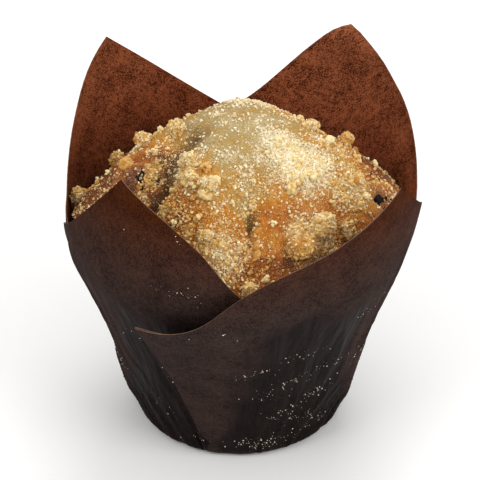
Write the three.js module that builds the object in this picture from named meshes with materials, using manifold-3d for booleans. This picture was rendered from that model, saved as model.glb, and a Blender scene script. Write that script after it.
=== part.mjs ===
// A blueberry crumble muffin in its folded paper case.
//
// Millimetres, +Z up. The origin is the centre of the case's flat foot, on the surface it
// stands on, and -Y is the side where the widest flap of the case overlaps.
//
// The case is one square sheet pressed into a cup. Its four corners stand up as petals, and
// the paper that is left over between them lies in four Z-shaped pleats. The sheet is laid
// out in its own polar coordinates: a distance from its centre and a sheet angle from the
// middle of the nearest side. Every row of the mesh is one distance, so the paper keeps its
// length from the foot to its cut edge.

import * as THREE from 'three';
import { mergeVertices } from 'three/addons/utils/BufferGeometryUtils.js';
import Module from 'manifold-3d';

// ---- driving dimensions -------------------------------------------------------------------

const SHEET_SIDE = 160;      // cut size of the square sheet
const SHEET_SHIFT_X = -1.3;  // how far off centre the sheet was pressed
const SHEET_SHIFT_Y = 0.7;
const FOOT_RADIUS = 24.5;    // where the sheet turns from foot to wall
const PAPER = 0.4;           // thickness of the paper
const LAYER_STEP = 0.6;      // from one folded layer to the next
const CLEARANCE = 0.3;       // between two pieces that touch
const CAKE_INSET = 1.15;     // from the middle of the paper to the crumb

const WALL_ANGLE_LOW = 14.6;   // wall from vertical, just above the foot
const WALL_ANGLE_HIGH = 22.5;  // wall from vertical, at mid height
const WALL_TURN = [18, 48];    // slant heights between which it opens
const FOOT_TURN = [-2, 3];     // slant heights between which foot bends into wall
const LEAN_TURN = [50, 66];    // slant heights between which each petal takes its own lean
const TWIST_HEIGHT = 70;       // slant height at which a petal has reached its tip's azimuth
const FOLD_HEIGHT = 58;        // slant height at which a fold has reached its top azimuth
const STAND_HEIGHT = 56;       // slant height at which a loose flap stands off by its full gap

// Petals in order of azimuth: where the corner's diagonal starts and ends, and its lean from
// vertical. The order is back right, back left, front left, front right.
const PETALS = [
  { foot: 52.4, tip: 61.0, lean: 22.9, curl: 62 },
  { foot: 142.4, tip: 133.5, lean: 9.0, curl: 0 },
  { foot: 232.4, tip: 224.4, lean: -8.3, curl: 0 },
  { foot: 322.4, tip: 324.0, lean: 7.9, curl: 0 },
];
const CURL_LENGTH = 8;       // the stretch of a curled tip, along the diagonal
const CURL_WIDTH = 22;       // half width of the curl, degrees of azimuth

// Pleats between petal i and petal i + 1. `over` is the petal that lies outside, `standOff`
// how far its folded edge stands clear. `bows` are the heights of one, two and three half
// waves in the cut edge, before and after the middle of the side.
const PLEATS = [
  {
    foot: 96, top: 118.5, over: 0, standOff: 1.0, lean: -1.0,
    bows: [[-4.1, 1.8, -0.4], [-1.9, -0.7, 0]],
  },
  {
    foot: 181, top: 186.8, over: 1, standOff: 0.0, lean: -0.4,
    bows: [[1.5, -3.1, -0.3], [-4.5, 1.1, 0]],
  },
  {
    foot: 255.5, top: 239.2, over: 1, standOff: 6.6, lean: -11.6,
    bows: [[3.8, -1.5, 2.3], [5.7, -0.5, -1.7]],
  },
  {
    foot: 357, top: 343.8, over: 0, standOff: 0.0, lean: 13.2,
    bows: [[0.7, 0.3, -0.5], [7.1, -3.9, -1.3]],
  },
];
const PLEAT_START = [2, 10];   // slant heights between which a pleat opens from a plain ramp
const RAMP_HALF = 2.5;         // half width of that ramp
const LAYER_RISE = 8;          // slant height at which the layers lie one on another
const LAYER_FADE = 14;         // degrees past a pleat in which its outer layer settles back

const PETAL_STEPS = 5;       // columns from a diagonal to its fold
const BEND_STEPS = 3;        // columns round each fold
const MIDDLE_STEPS = 2;      // columns across a pleat's middle layer
const FOOT_ROWS = [19, 22.4, 23.9, 25.4, 27.2];   // sheet distances of the rows at the foot
const WALL_ROWS = 9;         // rows from there to the cut edge
const GUESS_PASSES = 24;     // guesses at where a column meets the cut edge
const GUESS_SHARE = 0.6;     // how far each guess moves towards the new answer

const APEX = 82;             // top of the muffin
const DOME_DROP = 25;        // from there down to its rim
const DOME_RADIUS = 41.5;
const DOME_POWER = 2.15;
const RIM_SLANT = 57.5;      // slant height of the rim against the case
const RIM_LIMIT = 42.6;      // the crumb never spreads wider than this
const CAKE_COLUMNS = 50;
const CAKE_WALL_ROWS = [-1, 3.2, 14, 26, 38, 48, 54, RIM_SLANT];   // slant heights
const DOME_RINGS = 11;
const FIRST_RING = 0.35;     // share of a ring's step from the rim to the lowest dome ring

// Swellings of the baked top, and hollows where it sank back: place, radius and height.
const LOBES = [
  { x: 15, y: -22, radius: 11, height: 1.7 },
  { x: -9, y: -20, radius: 8, height: 2.0 },
  { x: -25, y: -2, radius: 8, height: 1.6 },
  { x: 27, y: -5, radius: 8, height: 1.3 },
  { x: 0, y: -14, radius: 5, height: 1.2 },
  { x: -16, y: 25, radius: 11, height: -3.0 },
  { x: -33, y: 18, radius: 12, height: -5.0 },
  { x: 23, y: 22, radius: 12, height: -3.2 },
  { x: -2, y: 25, radius: 8, height: 1.0 },
];
// Cracks where the top split as it rose: a path, half width and depth.
const CRACKS = [
  { path: [[-11, 0], [-12.8, -5.5], [-15.7, -11.3], [-19.5, -16.5], [-22, -20]], width: 2.8, depth: 3.0 },
  { path: [[7.1, -12.7], [6.6, -17.1], [4.4, -22.4], [3, -26]], width: 2.6, depth: 1.3 },
  { path: [[3, -25.8], [2.8, -29.2]], width: 1.8, depth: 2.8 },
  { path: [[28, 13], [30.5, 5.5], [32.9, -2.8], [33.3, -6]], width: 2.0, depth: 1.3 },
  { path: [[-26, 24], [-12, 32], [3, 29], [16, 33]], width: 2.6, depth: 1.8 },
];
// The crumb shrank from its case at the back left, so its rim lies lower there: azimuth, half
// width in degrees and drop in slant height.
const RIM_DIP = { azimuth: 148, width: 26, drop: 5 };
// Clumps of crumble: place, half length along X, Y and Z, and turn about Z.
const CLUMPS = [
  { name: 'crumb_left_rim', x: -39.8, y: 4.5, size: [1.9, 2.3, 2.5], turn: 20 },
  { name: 'crumb_left_back', x: -30.5, y: 17, size: [2.0, 1.9, 2.4], turn: 50 },
  { name: 'crumb_left_top', x: -23.3, y: 4.6, size: [2.2, 2.0, 2.2], turn: 10 },
  { name: 'crumb_left_flat', x: -27.2, y: -3.2, size: [2.7, 1.8, 1.9], turn: 35 },
  { name: 'crumb_left_high', x: -15.6, y: 3.8, size: [2.4, 2.2, 2.2], turn: 60 },
  { name: 'crumb_cluster_top', x: -12.0, y: -11.0, size: [2.3, 2.2, 2.5], turn: 0 },
  { name: 'crumb_cluster_left', x: -11.8, y: -16.8, size: [2.2, 1.9, 2.0], turn: 35 },
  { name: 'crumb_cluster_right', x: -7.2, y: -19.8, size: [2.1, 2.6, 2.2], turn: 10 },
  { name: 'crumb_front_big', x: 20.5, y: -24.9, size: [3.3, 3.1, 3.3], turn: 24 },
  { name: 'crumb_front_low', x: 15.2, y: -30.5, size: [3.4, 3.4, 3.2], turn: 24 },
  { name: 'crumb_front_small', x: 26.4, y: -21.6, size: [2.0, 1.8, 2.0], turn: 60 },
  { name: 'crumb_right_peak', x: 26.0, y: 14.0, size: [2.2, 2.0, 2.8], turn: 15 },
  { name: 'crumb_right_ridge', x: 17.6, y: 9.1, size: [1.9, 1.7, 1.9], turn: 40 },
  { name: 'crumb_low_left', x: -8.0, y: -29.4, size: [1.9, 1.7, 1.9], turn: 30 },
  { name: 'crumb_low_middle', x: 2.4, y: -38.6, size: [2.1, 1.6, 1.9], turn: 0 },
];
const BIG_CLUMP = 3;         // a clump with a half length over this has finer facets
const CLUMP_SINK = 0.25;     // share of a clump's height that lies below the surface
const CLUMP_ROUGHNESS = 0.14;

const BERRIES = [
  { name: 'berry_left', x: -24.0, y: -8.0, radius: 4.4, sink: 2.4 },
  { name: 'berry_right', x: 34.2, y: -3.0, radius: 4.2, sink: 2.2 },
];
const BERRY_SIDES = 16;
const BERRY_RINGS = 11;

const PAPER_COLOUR = 0x3b2823;
const CAKE_COLOUR = 0xc09a58;
const CRUMBLE_COLOUR = 0xe3c98c;
const BERRY_COLOUR = 0x2a2433;

// ---- small helpers ------------------------------------------------------------------------

const DEG = Math.PI / 180;
const clamp = (value, low, high) => Math.min(Math.max(value, low), high);
const mix = (a, b, t) => a + (b - a) * t;

// 0 below low, 1 above high, smooth between
function ease(value, low, high) {
  const t = clamp((value - low) / (high - low), 0, 1);
  return t * t * (3 - 2 * t);
}

// An angle moved by whole turns until it is at or past `from`
const turnPast = (angle, from) => angle + 360 * Math.ceil((from - angle) / 360);

// ---- the cup that the sheet is pressed into -----------------------------------------------

// Lean of the upper case at an azimuth, blended from petal to pleat to petal
function leanAt(azimuth) {
  const stations = [];
  PETALS.forEach((petal, i) => {
    const next = turnPast(PETALS[(i + 1) % 4].tip, petal.tip);
    stations.push([petal.tip, petal.lean]);
    stations.push([(petal.tip + next) / 2, PLEATS[i].lean]);
  });
  stations.push([stations[0][0] + 360, stations[0][1]]);
  const angle = turnPast(azimuth, stations[0][0]);
  const wrapped = angle > stations[0][0] + 360 ? angle - 360 : angle;
  for (let i = 0; i < stations.length - 1; i += 1) {
    const [a, leanA] = stations[i];
    const [b, leanB] = stations[i + 1];
    const share = (wrapped - a) / (b - a);
    if (share <= 1) return mix(leanA, leanB, 0.5 - 0.5 * Math.cos(Math.PI * share));
  }
  return stations[0][1];
}

// Angle of the paper from vertical, at an azimuth and a slant height above the foot's edge
function slopeAt(azimuth, lean, slant) {
  const wall = mix(WALL_ANGLE_LOW, WALL_ANGLE_HIGH, ease(slant, ...WALL_TURN));
  const turned = mix(90, wall, ease(slant, ...FOOT_TURN));
  let angle = turned + (lean - wall) * ease(slant, ...LEAN_TURN);
  PETALS.forEach((petal, i) => {
    const away = Math.abs(((azimuth - petal.tip + 540) % 360) - 180);
    const start = tipDistance(i) - FOOT_RADIUS - CURL_LENGTH;
    angle += petal.curl * ease(slant, start, start + CURL_LENGTH) * (1 - ease(away, 0, CURL_WIDTH));
  });
  return angle;
}

// Distances of the sheet's four sides from the cup's axis: back, left, front, right
const HALF = SHEET_SIDE / 2;
const SIDES = [
  HALF + SHEET_SHIFT_Y,
  HALF - SHEET_SHIFT_X,
  HALF - SHEET_SHIFT_Y,
  HALF + SHEET_SHIFT_X,
];
const sideBefore = (i) => SIDES[(i + 3) % 4];
const sideAfter = (i) => SIDES[(i + 1) % 4];

// Distance of corner i from the sheet's centre: it lies between side i - 1 and side i
function tipDistance(i) {
  return Math.hypot(sideBefore(i), SIDES[i]);
}

// Radius and height of the cup against azimuth and slant height, summed once into a table
const SLANT_FIRST = FOOT_ROWS[0] - FOOT_RADIUS;
const SLANT_STEP = 0.5;
const SLANT_COUNT = 210;
const AZIMUTH_COUNT = 180;
const AZIMUTH_STEP = 360 / AZIMUTH_COUNT;

const cupTable = Array.from({ length: AZIMUTH_COUNT }, (_, column) => {
  const azimuth = column * AZIMUTH_STEP;
  const lean = leanAt(azimuth);
  const rows = [[FOOT_ROWS[0], 0]];
  for (let row = 1; row < SLANT_COUNT; row += 1) {
    const angle = slopeAt(azimuth, lean, SLANT_FIRST + (row - 0.5) * SLANT_STEP) * DEG;
    const [radius, height] = rows[row - 1];
    rows.push([radius + Math.sin(angle) * SLANT_STEP, height + Math.cos(angle) * SLANT_STEP]);
  }
  return rows;
});

// [radius, height] of the cup by interpolation in the table
function cupAt(azimuth, slant) {
  const across = (((azimuth % 360) + 360) % 360) / AZIMUTH_STEP;
  const up = clamp((slant - SLANT_FIRST) / SLANT_STEP, 0, SLANT_COUNT - 1.001);
  const column = Math.floor(across) % AZIMUTH_COUNT;
  const row = Math.floor(up);
  const next = (column + 1) % AZIMUTH_COUNT;
  const acrossPart = across - Math.floor(across);
  return [0, 1].map((i) => mix(
    mix(cupTable[column][row][i], cupTable[column][row + 1][i], up - row),
    mix(cupTable[next][row][i], cupTable[next][row + 1][i], up - row),
    acrossPart,
  ));
}

// ---- the folded sheet ---------------------------------------------------------------------

// Azimuth of a petal's diagonal, counted on past a full turn after the last petal
function petalAzimuth(i, slant) {
  const petal = PETALS[i % 4];
  const turns = 360 * Math.floor(i / 4);
  return mix(petal.foot, petal.tip, ease(slant, 0, TWIST_HEIGHT)) + turns;
}

// Sheet angles from the middle of side i to the corners before and after it
function cornerAngles(i) {
  return [Math.atan(sideBefore(i) / SIDES[i]) / DEG, Math.atan(sideAfter(i) / SIDES[i]) / DEG];
}

// Azimuths of pleat i at one slant height: both diagonals and both folds
function pleatAt(i, slant) {
  const pleat = PLEATS[i];
  const first = petalAzimuth(i, slant);
  const last = petalAzimuth(i + 1, slant);
  const rise = 1 - (1 - clamp(slant / FOLD_HEIGHT, 0, 1)) ** 2;
  const outer = mix(pleat.foot, pleat.top, rise);
  const [radius] = cupAt(outer, slant);
  const [before, after] = cornerAngles(i);
  const stretch = (FOOT_RADIUS + slant) / radius;
  const overlap = Math.max(0, ((before + after) * stretch - (last - first)) / 2);
  const inner = pleat.over === 1 ? outer + overlap : outer - overlap;
  return { first, last, outer, inner, overlap, stretch };
}

// How far petal i's paper lies out from the cup where it covers a pleat beside it
function petalOffset(i, azimuth, slant) {
  const petal = i % 4;
  let offset = 0;
  [[petal, 0], [(petal + 3) % 4, 1]].forEach(([index, side]) => {
    const pleat = PLEATS[index];
    if (pleat.over !== side) return;
    const { outer, overlap } = pleatAt(index, slant);
    const away = side === 1 ? azimuth - outer : outer - azimuth;
    const past = ((away + 540) % 360) - 180;
    const rise = 2 * LAYER_STEP * ease(slant, 0, LAYER_RISE);
    const lift = rise * (1 - ease(past, overlap, overlap + LAYER_FADE));
    const stand = standOff(index, slant) * (1 - ease(past, 0, overlap + LAYER_FADE));
    offset = Math.max(offset, lift + stand);
  });
  return offset;
}

function standOff(i, slant) {
  return PLEATS[i].standOff * clamp(slant / STAND_HEIGHT, 0, 1.3) ** 2;
}

// Sheet distance of the cut edge at a sheet angle from the middle of side i
function edgeDistance(i, angle) {
  const [before, after] = cornerAngles(i);
  const share = clamp(angle < 0 ? -angle / before : angle / after, 0, 1);
  const bows = PLEATS[i].bows[angle < 0 ? 0 : 1];
  const wave = bows.reduce((sum, bow, k) => sum + bow * Math.sin((k + 1) * Math.PI * share), 0);
  return SIDES[i] / Math.cos(angle * DEG) + wave;
}

// The columns of one pleat, from the petal that lies under it to the one that lies over it.
// Each has a part of the pleat and a share of the way along that part.
function pleatColumns() {
  const columns = [];
  const add = (part, steps, from = 0) => {
    for (let i = from; i <= steps; i += 1) columns.push({ part, share: i / steps });
  };
  add('under', PETAL_STEPS);
  add('innerBend', BEND_STEPS, 1);
  add('middle', MIDDLE_STEPS, 1);
  add('outerBend', BEND_STEPS, 1);
  add('over', PETAL_STEPS, 1);
  return columns;
}

// Where a column crosses one slant height: azimuth, sideways shift, offset and turn of the
// paper's outside from facing out, as if every column went from low to high azimuth
function columnAt(i, column, slant) {
  const pleat = PLEATS[i];
  const { first, last, outer, inner } = pleatAt(i, slant);
  const forward = pleat.over === 1;
  const under = forward ? first : last;
  const over = forward ? last : first;
  const underPetal = forward ? i : i + 1;
  const overPetal = forward ? i + 1 : i;
  const side = forward ? 1 : -1;
  const bend = LAYER_STEP / 2;

  const innerOffset = petalOffset(underPetal, inner, slant);
  const outerOffset = petalOffset(overPetal, outer, slant);
  const opening = ease(slant, ...PLEAT_START);
  const centre = (inner + outer) / 2;
  const degrees = 1 / (cupAt(centre, slant)[0] * DEG);
  const cluster = 2 * BEND_STEPS + MIDDLE_STEPS;
  const ramp = (step) => ({
    azimuth: centre + side * RAMP_HALF * degrees * (2 * step / cluster - 1),
    shift: 0,
    offset: mix(innerOffset, outerOffset, step / cluster),
    turn: 0,
  });
  const blend = (step, folded) => {
    const open = ramp(step);
    return {
      azimuth: mix(open.azimuth, folded.azimuth, opening),
      shift: mix(open.shift, folded.shift, opening),
      offset: mix(open.offset, folded.offset, opening),
      turn: mix(open.turn, folded.turn, opening),
    };
  };
  const bendAngle = column.share * Math.PI;
  if (column.part === 'under') {
    const fold = blend(0, { azimuth: inner, shift: 0, offset: innerOffset, turn: 0 });
    const azimuth = mix(under, fold.azimuth, column.share);
    return { azimuth, shift: 0, offset: petalOffset(underPetal, azimuth, slant), turn: 0 };
  }
  if (column.part === 'innerBend') {
    return blend(column.share * BEND_STEPS, {
      azimuth: inner,
      shift: side * bend * Math.sin(bendAngle),
      offset: innerOffset + bend - bend * Math.cos(bendAngle),
      turn: side * bendAngle,
    });
  }
  if (column.part === 'middle') {
    return blend(BEND_STEPS + column.share * MIDDLE_STEPS, {
      azimuth: mix(inner, outer, column.share),
      shift: 0,
      offset: mix(innerOffset + 2 * bend, outerOffset - 2 * bend, column.share),
      turn: side * Math.PI,
    });
  }
  if (column.part === 'outerBend') {
    return blend(BEND_STEPS + MIDDLE_STEPS + column.share * BEND_STEPS, {
      azimuth: outer,
      shift: -side * bend * Math.sin(bendAngle),
      offset: outerOffset - bend - bend * Math.cos(bendAngle),
      turn: side * (Math.PI - bendAngle),
    });
  }
  const fold = blend(cluster, { azimuth: outer, shift: 0, offset: outerOffset, turn: 0 });
  const azimuth = mix(fold.azimuth, over, column.share);
  return { azimuth, shift: 0, offset: petalOffset(overPetal, azimuth, slant), turn: 0 };
}

// Sheet distance at which a column meets the cut edge, found by repeating the guess
function columnEnd(i, column) {
  const [before, after] = cornerAngles(i);
  const forward = PLEATS[i].over === 1;
  let distance = SIDES[i];
  for (let pass = 0; pass < GUESS_PASSES; pass += 1) {
    const slant = distance - FOOT_RADIUS;
    const { first, last, outer, inner, stretch } = pleatAt(i, slant);
    const lowFold = (forward ? inner - first : outer - first) / stretch - before;
    const highFold = after - (forward ? last - outer : last - inner) / stretch;
    const underFold = forward ? lowFold : highFold;
    const overFold = forward ? highFold : lowFold;
    const angle = {
      under: mix(forward ? -before : after, underFold, column.share),
      innerBend: underFold,
      middle: mix(underFold, overFold, column.share),
      outerBend: overFold,
      over: mix(overFold, forward ? after : -before, column.share),
    }[column.part];
    distance = mix(distance, edgeDistance(i, clamp(angle, -before, after)), GUESS_SHARE);
  }
  return distance;
}

// One column as points of the paper's middle with the direction of its outside
function columnPoints(i, column) {
  const end = columnEnd(i, column);
  const wallStart = FOOT_ROWS[FOOT_ROWS.length - 1];
  const distances = [...FOOT_ROWS];
  for (let row = 1; row <= WALL_ROWS; row += 1) distances.push(mix(wallStart, end, row / WALL_ROWS));
  return distances.map((distance) => {
    const slant = distance - FOOT_RADIUS;
    const { azimuth, shift, offset, turn } = columnAt(i, column, slant);
    const [radius, height] = cupAt(azimuth, slant);
    const slope = slopeAt(azimuth, leanAt(azimuth), slant) * DEG;
    const out = new THREE.Vector3(Math.cos(azimuth * DEG), Math.sin(azimuth * DEG), 0);
    const along = new THREE.Vector3(-out.y, out.x, 0);
    const normal = out.clone().multiplyScalar(Math.cos(slope));
    normal.z = -Math.sin(slope);
    const outside = normal.multiplyScalar(Math.cos(turn)).addScaledVector(along, -Math.sin(turn));
    const middle = out.multiplyScalar(radius + offset).addScaledVector(along, shift);
    middle.z = height + PAPER / 2;
    return { middle, outside };
  });
}

// Joins columns of inner and outer points, a centre and a cut edge into one closed shell
function shellGeometry(columns) {
  const rows = columns[0].length;
  const count = columns.length;
  const positions = [];
  const indices = [];
  const push = (point) => positions.push(point.x, point.y, point.z);
  columns.forEach((column) => column.forEach(({ middle, outside }) => {
    push(middle.clone().addScaledVector(outside, PAPER / 2));
    push(middle.clone().addScaledVector(outside, -PAPER / 2));
  }));
  const vertex = (column, row, face) => ((column % count) * rows + row) * 2 + face;
  const centre = positions.length / 3;
  push(new THREE.Vector3(0, 0, 0));
  push(new THREE.Vector3(0, 0, PAPER));
  for (let column = 0; column < count; column += 1) {
    indices.push(centre, vertex(column + 1, 0, 0), vertex(column, 0, 0));
    indices.push(centre + 1, vertex(column, 0, 1), vertex(column + 1, 0, 1));
    for (let row = 0; row < rows - 1; row += 1) {
      const a = [vertex(column, row, 0), vertex(column + 1, row, 0)];
      const b = [vertex(column, row + 1, 0), vertex(column + 1, row + 1, 0)];
      indices.push(a[0], a[1], b[1], a[0], b[1], b[0]);
      indices.push(a[0] + 1, b[1] + 1, a[1] + 1, a[0] + 1, b[0] + 1, b[1] + 1);
    }
    const low = vertex(column, rows - 1, 0);
    const high = vertex(column + 1, rows - 1, 0);
    indices.push(low, high, high + 1, low, high + 1, low + 1);
  }
  const geometry = new THREE.BufferGeometry();
  geometry.setAttribute('position', new THREE.Float32BufferAttribute(positions, 3));
  geometry.setIndex(indices);
  return geometry;
}

function paperCaseGeometry() {
  const around = [];
  PLEATS.forEach((pleat, i) => {
    const columns = pleatColumns().map((column) => columnPoints(i, column));
    if (pleat.over === 0) columns.reverse();
    around.push(...columns.slice(0, -1));
  });
  return shellGeometry(around);
}

// ---- the muffin ---------------------------------------------------------------------------

// Distance of a point from a path of straight stretches
function distanceToPath(x, y, path) {
  let nearest = Infinity;
  for (let i = 0; i < path.length - 1; i += 1) {
    const [ax, ay] = path[i];
    const [bx, by] = path[i + 1];
    const length = (bx - ax) ** 2 + (by - ay) ** 2;
    const t = clamp(((x - ax) * (bx - ax) + (y - ay) * (by - ay)) / length, 0, 1);
    nearest = Math.min(nearest, Math.hypot(x - mix(ax, bx, t), y - mix(ay, by, t)));
  }
  return nearest;
}

// Height of the baked top
function domeHeight(x, y) {
  let height = APEX - DOME_DROP * (Math.hypot(x, y) / DOME_RADIUS) ** DOME_POWER;
  LOBES.forEach((lobe) => {
    height += lobe.height * Math.exp(-((x - lobe.x) ** 2 + (y - lobe.y) ** 2) / lobe.radius ** 2);
  });
  CRACKS.forEach((crack) => {
    height -= crack.depth * Math.exp(-((distanceToPath(x, y, crack.path) / crack.width) ** 2));
  });
  return height;
}

// Slant height of the crumb's rim
function rimSlant(azimuth) {
  return RIM_SLANT - RIM_DIP.drop * Math.exp(-(((azimuth - RIM_DIP.azimuth) / RIM_DIP.width) ** 2));
}

// The crumb inside its case. `raise` lifts the top, for cutting what rests on it.
function cakeGeometry(raise = 0) {
  const positions = [];
  const indices = [];
  const rings = CAKE_WALL_ROWS.length + DOME_RINGS;
  const lift = PAPER + CLEARANCE;
  for (let column = 0; column < CAKE_COLUMNS; column += 1) {
    const azimuth = column * 360 / CAKE_COLUMNS;
    const cos = Math.cos(azimuth * DEG);
    const sin = Math.sin(azimuth * DEG);
    const add = (radius, height) => positions.push(radius * cos, radius * sin, height);
    const full = rimSlant(azimuth) / RIM_SLANT;
    CAKE_WALL_ROWS.forEach((slant) => {
      const [radius, height] = cupAt(azimuth, slant > 0 ? slant * full : slant);
      add(Math.min(radius - CAKE_INSET, RIM_LIMIT), height + lift);
    });
    const rim = Math.min(cupAt(azimuth, rimSlant(azimuth))[0] - CAKE_INSET, RIM_LIMIT);
    for (let ring = 0; ring < DOME_RINGS; ring += 1) {
      const radius = rim * Math.cos((ring + FIRST_RING) / DOME_RINGS * Math.PI / 2);
      add(radius, domeHeight(radius * cos, radius * sin) + raise);
    }
  }
  const foot = positions.length / 3;
  positions.push(0, 0, cupAt(0, CAKE_WALL_ROWS[0])[1] + lift);
  positions.push(0, 0, domeHeight(0, 0) + raise);
  for (let column = 0; column < CAKE_COLUMNS; column += 1) {
    const here = column * rings;
    const next = ((column + 1) % CAKE_COLUMNS) * rings;
    indices.push(foot, next, here);
    indices.push(foot + 1, here + rings - 1, next + rings - 1);
    for (let ring = 0; ring < rings - 1; ring += 1) {
      indices.push(here + ring, next + ring, next + ring + 1);
      indices.push(here + ring, next + ring + 1, here + ring + 1);
    }
  }
  const geometry = new THREE.BufferGeometry();
  geometry.setAttribute('position', new THREE.Float32BufferAttribute(positions, 3));
  geometry.setIndex(indices);
  return geometry;
}

function berryGeometry(berry, grow = 0) {
  const geometry = new THREE.SphereGeometry(berry.radius + grow, BERRY_SIDES, BERRY_RINGS);
  geometry.translate(berry.x, berry.y, domeHeight(berry.x, berry.y) - berry.sink);
  return geometry;
}

// A clump of crumble: a ball made knobbly by a few waves, then stretched and turned
function clumpGeometry(clump, index) {
  const geometry = new THREE.IcosahedronGeometry(1, Math.max(...clump.size) > BIG_CLUMP ? 2 : 1);
  const position = geometry.getAttribute('position');
  const point = new THREE.Vector3();
  for (let i = 0; i < position.count; i += 1) {
    point.fromBufferAttribute(position, i);
    const knobs = Math.sin(5.1 * point.x + index) * Math.sin(4.3 * point.y + 2 * index)
      + Math.sin(4.7 * point.z + 3 * index) * Math.cos(3.9 * point.x - index);
    point.multiplyScalar(1 + CLUMP_ROUGHNESS * knobs);
    position.setXYZ(i, point.x, point.y, point.z);
  }
  geometry.scale(...clump.size);
  geometry.rotateZ(clump.turn * DEG);
  const height = domeHeight(clump.x, clump.y) + clump.size[2] * (1 - 2 * CLUMP_SINK);
  geometry.translate(clump.x, clump.y, height);
  return geometry;
}

// ---- cuts ---------------------------------------------------------------------------------

const wasm = await Module();
wasm.setup();

function toSolid(geometry) {
  const bare = geometry.clone();
  bare.deleteAttribute('normal');
  bare.deleteAttribute('uv');
  const merged = mergeVertices(bare, 1e-3);
  return new wasm.Manifold(new wasm.Mesh({
    numProp: 3,
    vertProperties: new Float32Array(merged.getAttribute('position').array),
    triVerts: new Uint32Array(merged.getIndex().array),
  }));
}

function toGeometry(solid) {
  const mesh = solid.getMesh();
  const geometry = new THREE.BufferGeometry();
  geometry.setAttribute('position', new THREE.Float32BufferAttribute(mesh.vertProperties, 3));
  geometry.setIndex(Array.from(mesh.triVerts));
  return geometry;
}

// ---- the model ----------------------------------------------------------------------------

const muffin = new THREE.Group();

function addPiece(name, geometry, colour, roughness) {
  const material = new THREE.MeshStandardMaterial({ color: colour, roughness, metalness: 0 });
  geometry.computeVertexNormals();
  const mesh = new THREE.Mesh(geometry, material);
  mesh.name = name;
  muffin.add(mesh);
}

addPiece('paper_case', paperCaseGeometry(), PAPER_COLOUR, 0.6);

let cake = toSolid(cakeGeometry());
BERRIES.forEach((berry) => {
  cake = cake.subtract(toSolid(berryGeometry(berry, CLEARANCE)));
  addPiece(berry.name, berryGeometry(berry), BERRY_COLOUR, 0.35);
});
addPiece('cake', toGeometry(cake), CAKE_COLOUR, 0.9);

const bed = toSolid(cakeGeometry(CLEARANCE));
const grownBerries = BERRIES.map((berry) => toSolid(berryGeometry(berry, CLEARANCE)));
CLUMPS.forEach((clump, index) => {
  let solid = toSolid(clumpGeometry(clump, index)).subtract(bed);
  grownBerries.forEach((berry) => {
    solid = solid.subtract(berry);
  });
  addPiece(clump.name, toGeometry(solid), CRUMBLE_COLOUR, 0.95);
});

export default muffin;
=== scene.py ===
# %% [markdown]
# # A berry muffin with a crumble top, in its folded paper case
#
# A bakery muffin is three things at once: a square of dyed greaseproof paper pressed into a
# cup, a batter that rose and split in the oven, and a loose topping of butter crumble and
# sugar. This lesson makes them in that order. The paper and the batter follow rules, so they
# are worked out with numpy. What is scattered over them is left to Geometry Nodes.

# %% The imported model
import math

import bmesh
import bpy
import numpy as np
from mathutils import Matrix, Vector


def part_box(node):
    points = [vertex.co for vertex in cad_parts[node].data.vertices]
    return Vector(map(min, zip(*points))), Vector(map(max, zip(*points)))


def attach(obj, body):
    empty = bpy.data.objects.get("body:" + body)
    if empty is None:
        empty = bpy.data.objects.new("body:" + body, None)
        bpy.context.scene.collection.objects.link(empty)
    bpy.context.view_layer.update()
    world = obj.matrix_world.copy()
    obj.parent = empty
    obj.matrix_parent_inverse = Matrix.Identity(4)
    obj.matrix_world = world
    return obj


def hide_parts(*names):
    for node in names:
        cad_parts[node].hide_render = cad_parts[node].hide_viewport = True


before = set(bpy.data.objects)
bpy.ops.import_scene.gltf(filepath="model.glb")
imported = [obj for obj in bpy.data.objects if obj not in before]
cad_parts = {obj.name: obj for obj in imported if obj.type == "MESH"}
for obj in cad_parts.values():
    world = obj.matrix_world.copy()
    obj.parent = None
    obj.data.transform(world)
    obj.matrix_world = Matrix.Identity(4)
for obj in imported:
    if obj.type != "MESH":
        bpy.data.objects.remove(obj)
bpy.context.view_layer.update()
MM = 0.001
print("packed nodes:", len(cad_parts))

# %% [markdown]
# ## Camera, floor and light
#
# A long lens from a little above keeps the case's sides almost parallel. The light is that of
# a white tent: a bright roof, walls that grow darker towards the table, and large white lamps,
# a close one from the left, one from the right to open the shadows, and one high behind to
# catch the paper. Dark walls keep dark paper from looking grey.

# %% Camera
CAMERA_TILT = math.radians(35)
CAMERA_DISTANCE = 1.2
CAMERA_TARGET = (0.00025, 0.0, 0.0488)
CAMERA_LENS = 360

lens = bpy.data.cameras.new("long_lens")
lens.lens = CAMERA_LENS
lens.clip_end = 20
camera = bpy.data.objects.new("camera", lens)
camera.location = (
    CAMERA_TARGET[0],
    CAMERA_TARGET[1] - CAMERA_DISTANCE * math.cos(CAMERA_TILT),
    CAMERA_TARGET[2] + CAMERA_DISTANCE * math.sin(CAMERA_TILT),
)
camera.rotation_euler = (math.pi / 2 - CAMERA_TILT, 0, 0)
bpy.context.scene.collection.objects.link(camera)
bpy.context.scene.camera = camera
bpy.context.scene.view_settings.view_transform = "Standard"
print("camera at", [round(value, 3) for value in camera.location])


# %% Nodes and colours
def linear(hex_colour):
    """An sRGB hex colour as linear red, green, blue and alpha."""
    channels = [int(hex_colour[i:i + 2], 16) / 255 for i in (1, 3, 5)]
    low = [channel / 12.92 for channel in channels]
    high = [((channel + 0.055) / 1.055) ** 2.4 for channel in channels]
    return [a if c <= 0.04045 else b for a, b, c in zip(low, high, channels)] + [1.0]


MIX_A, MIX_B, MIX_RESULT = 6, 7, 2    # the sockets for colours of a Mix node


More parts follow.
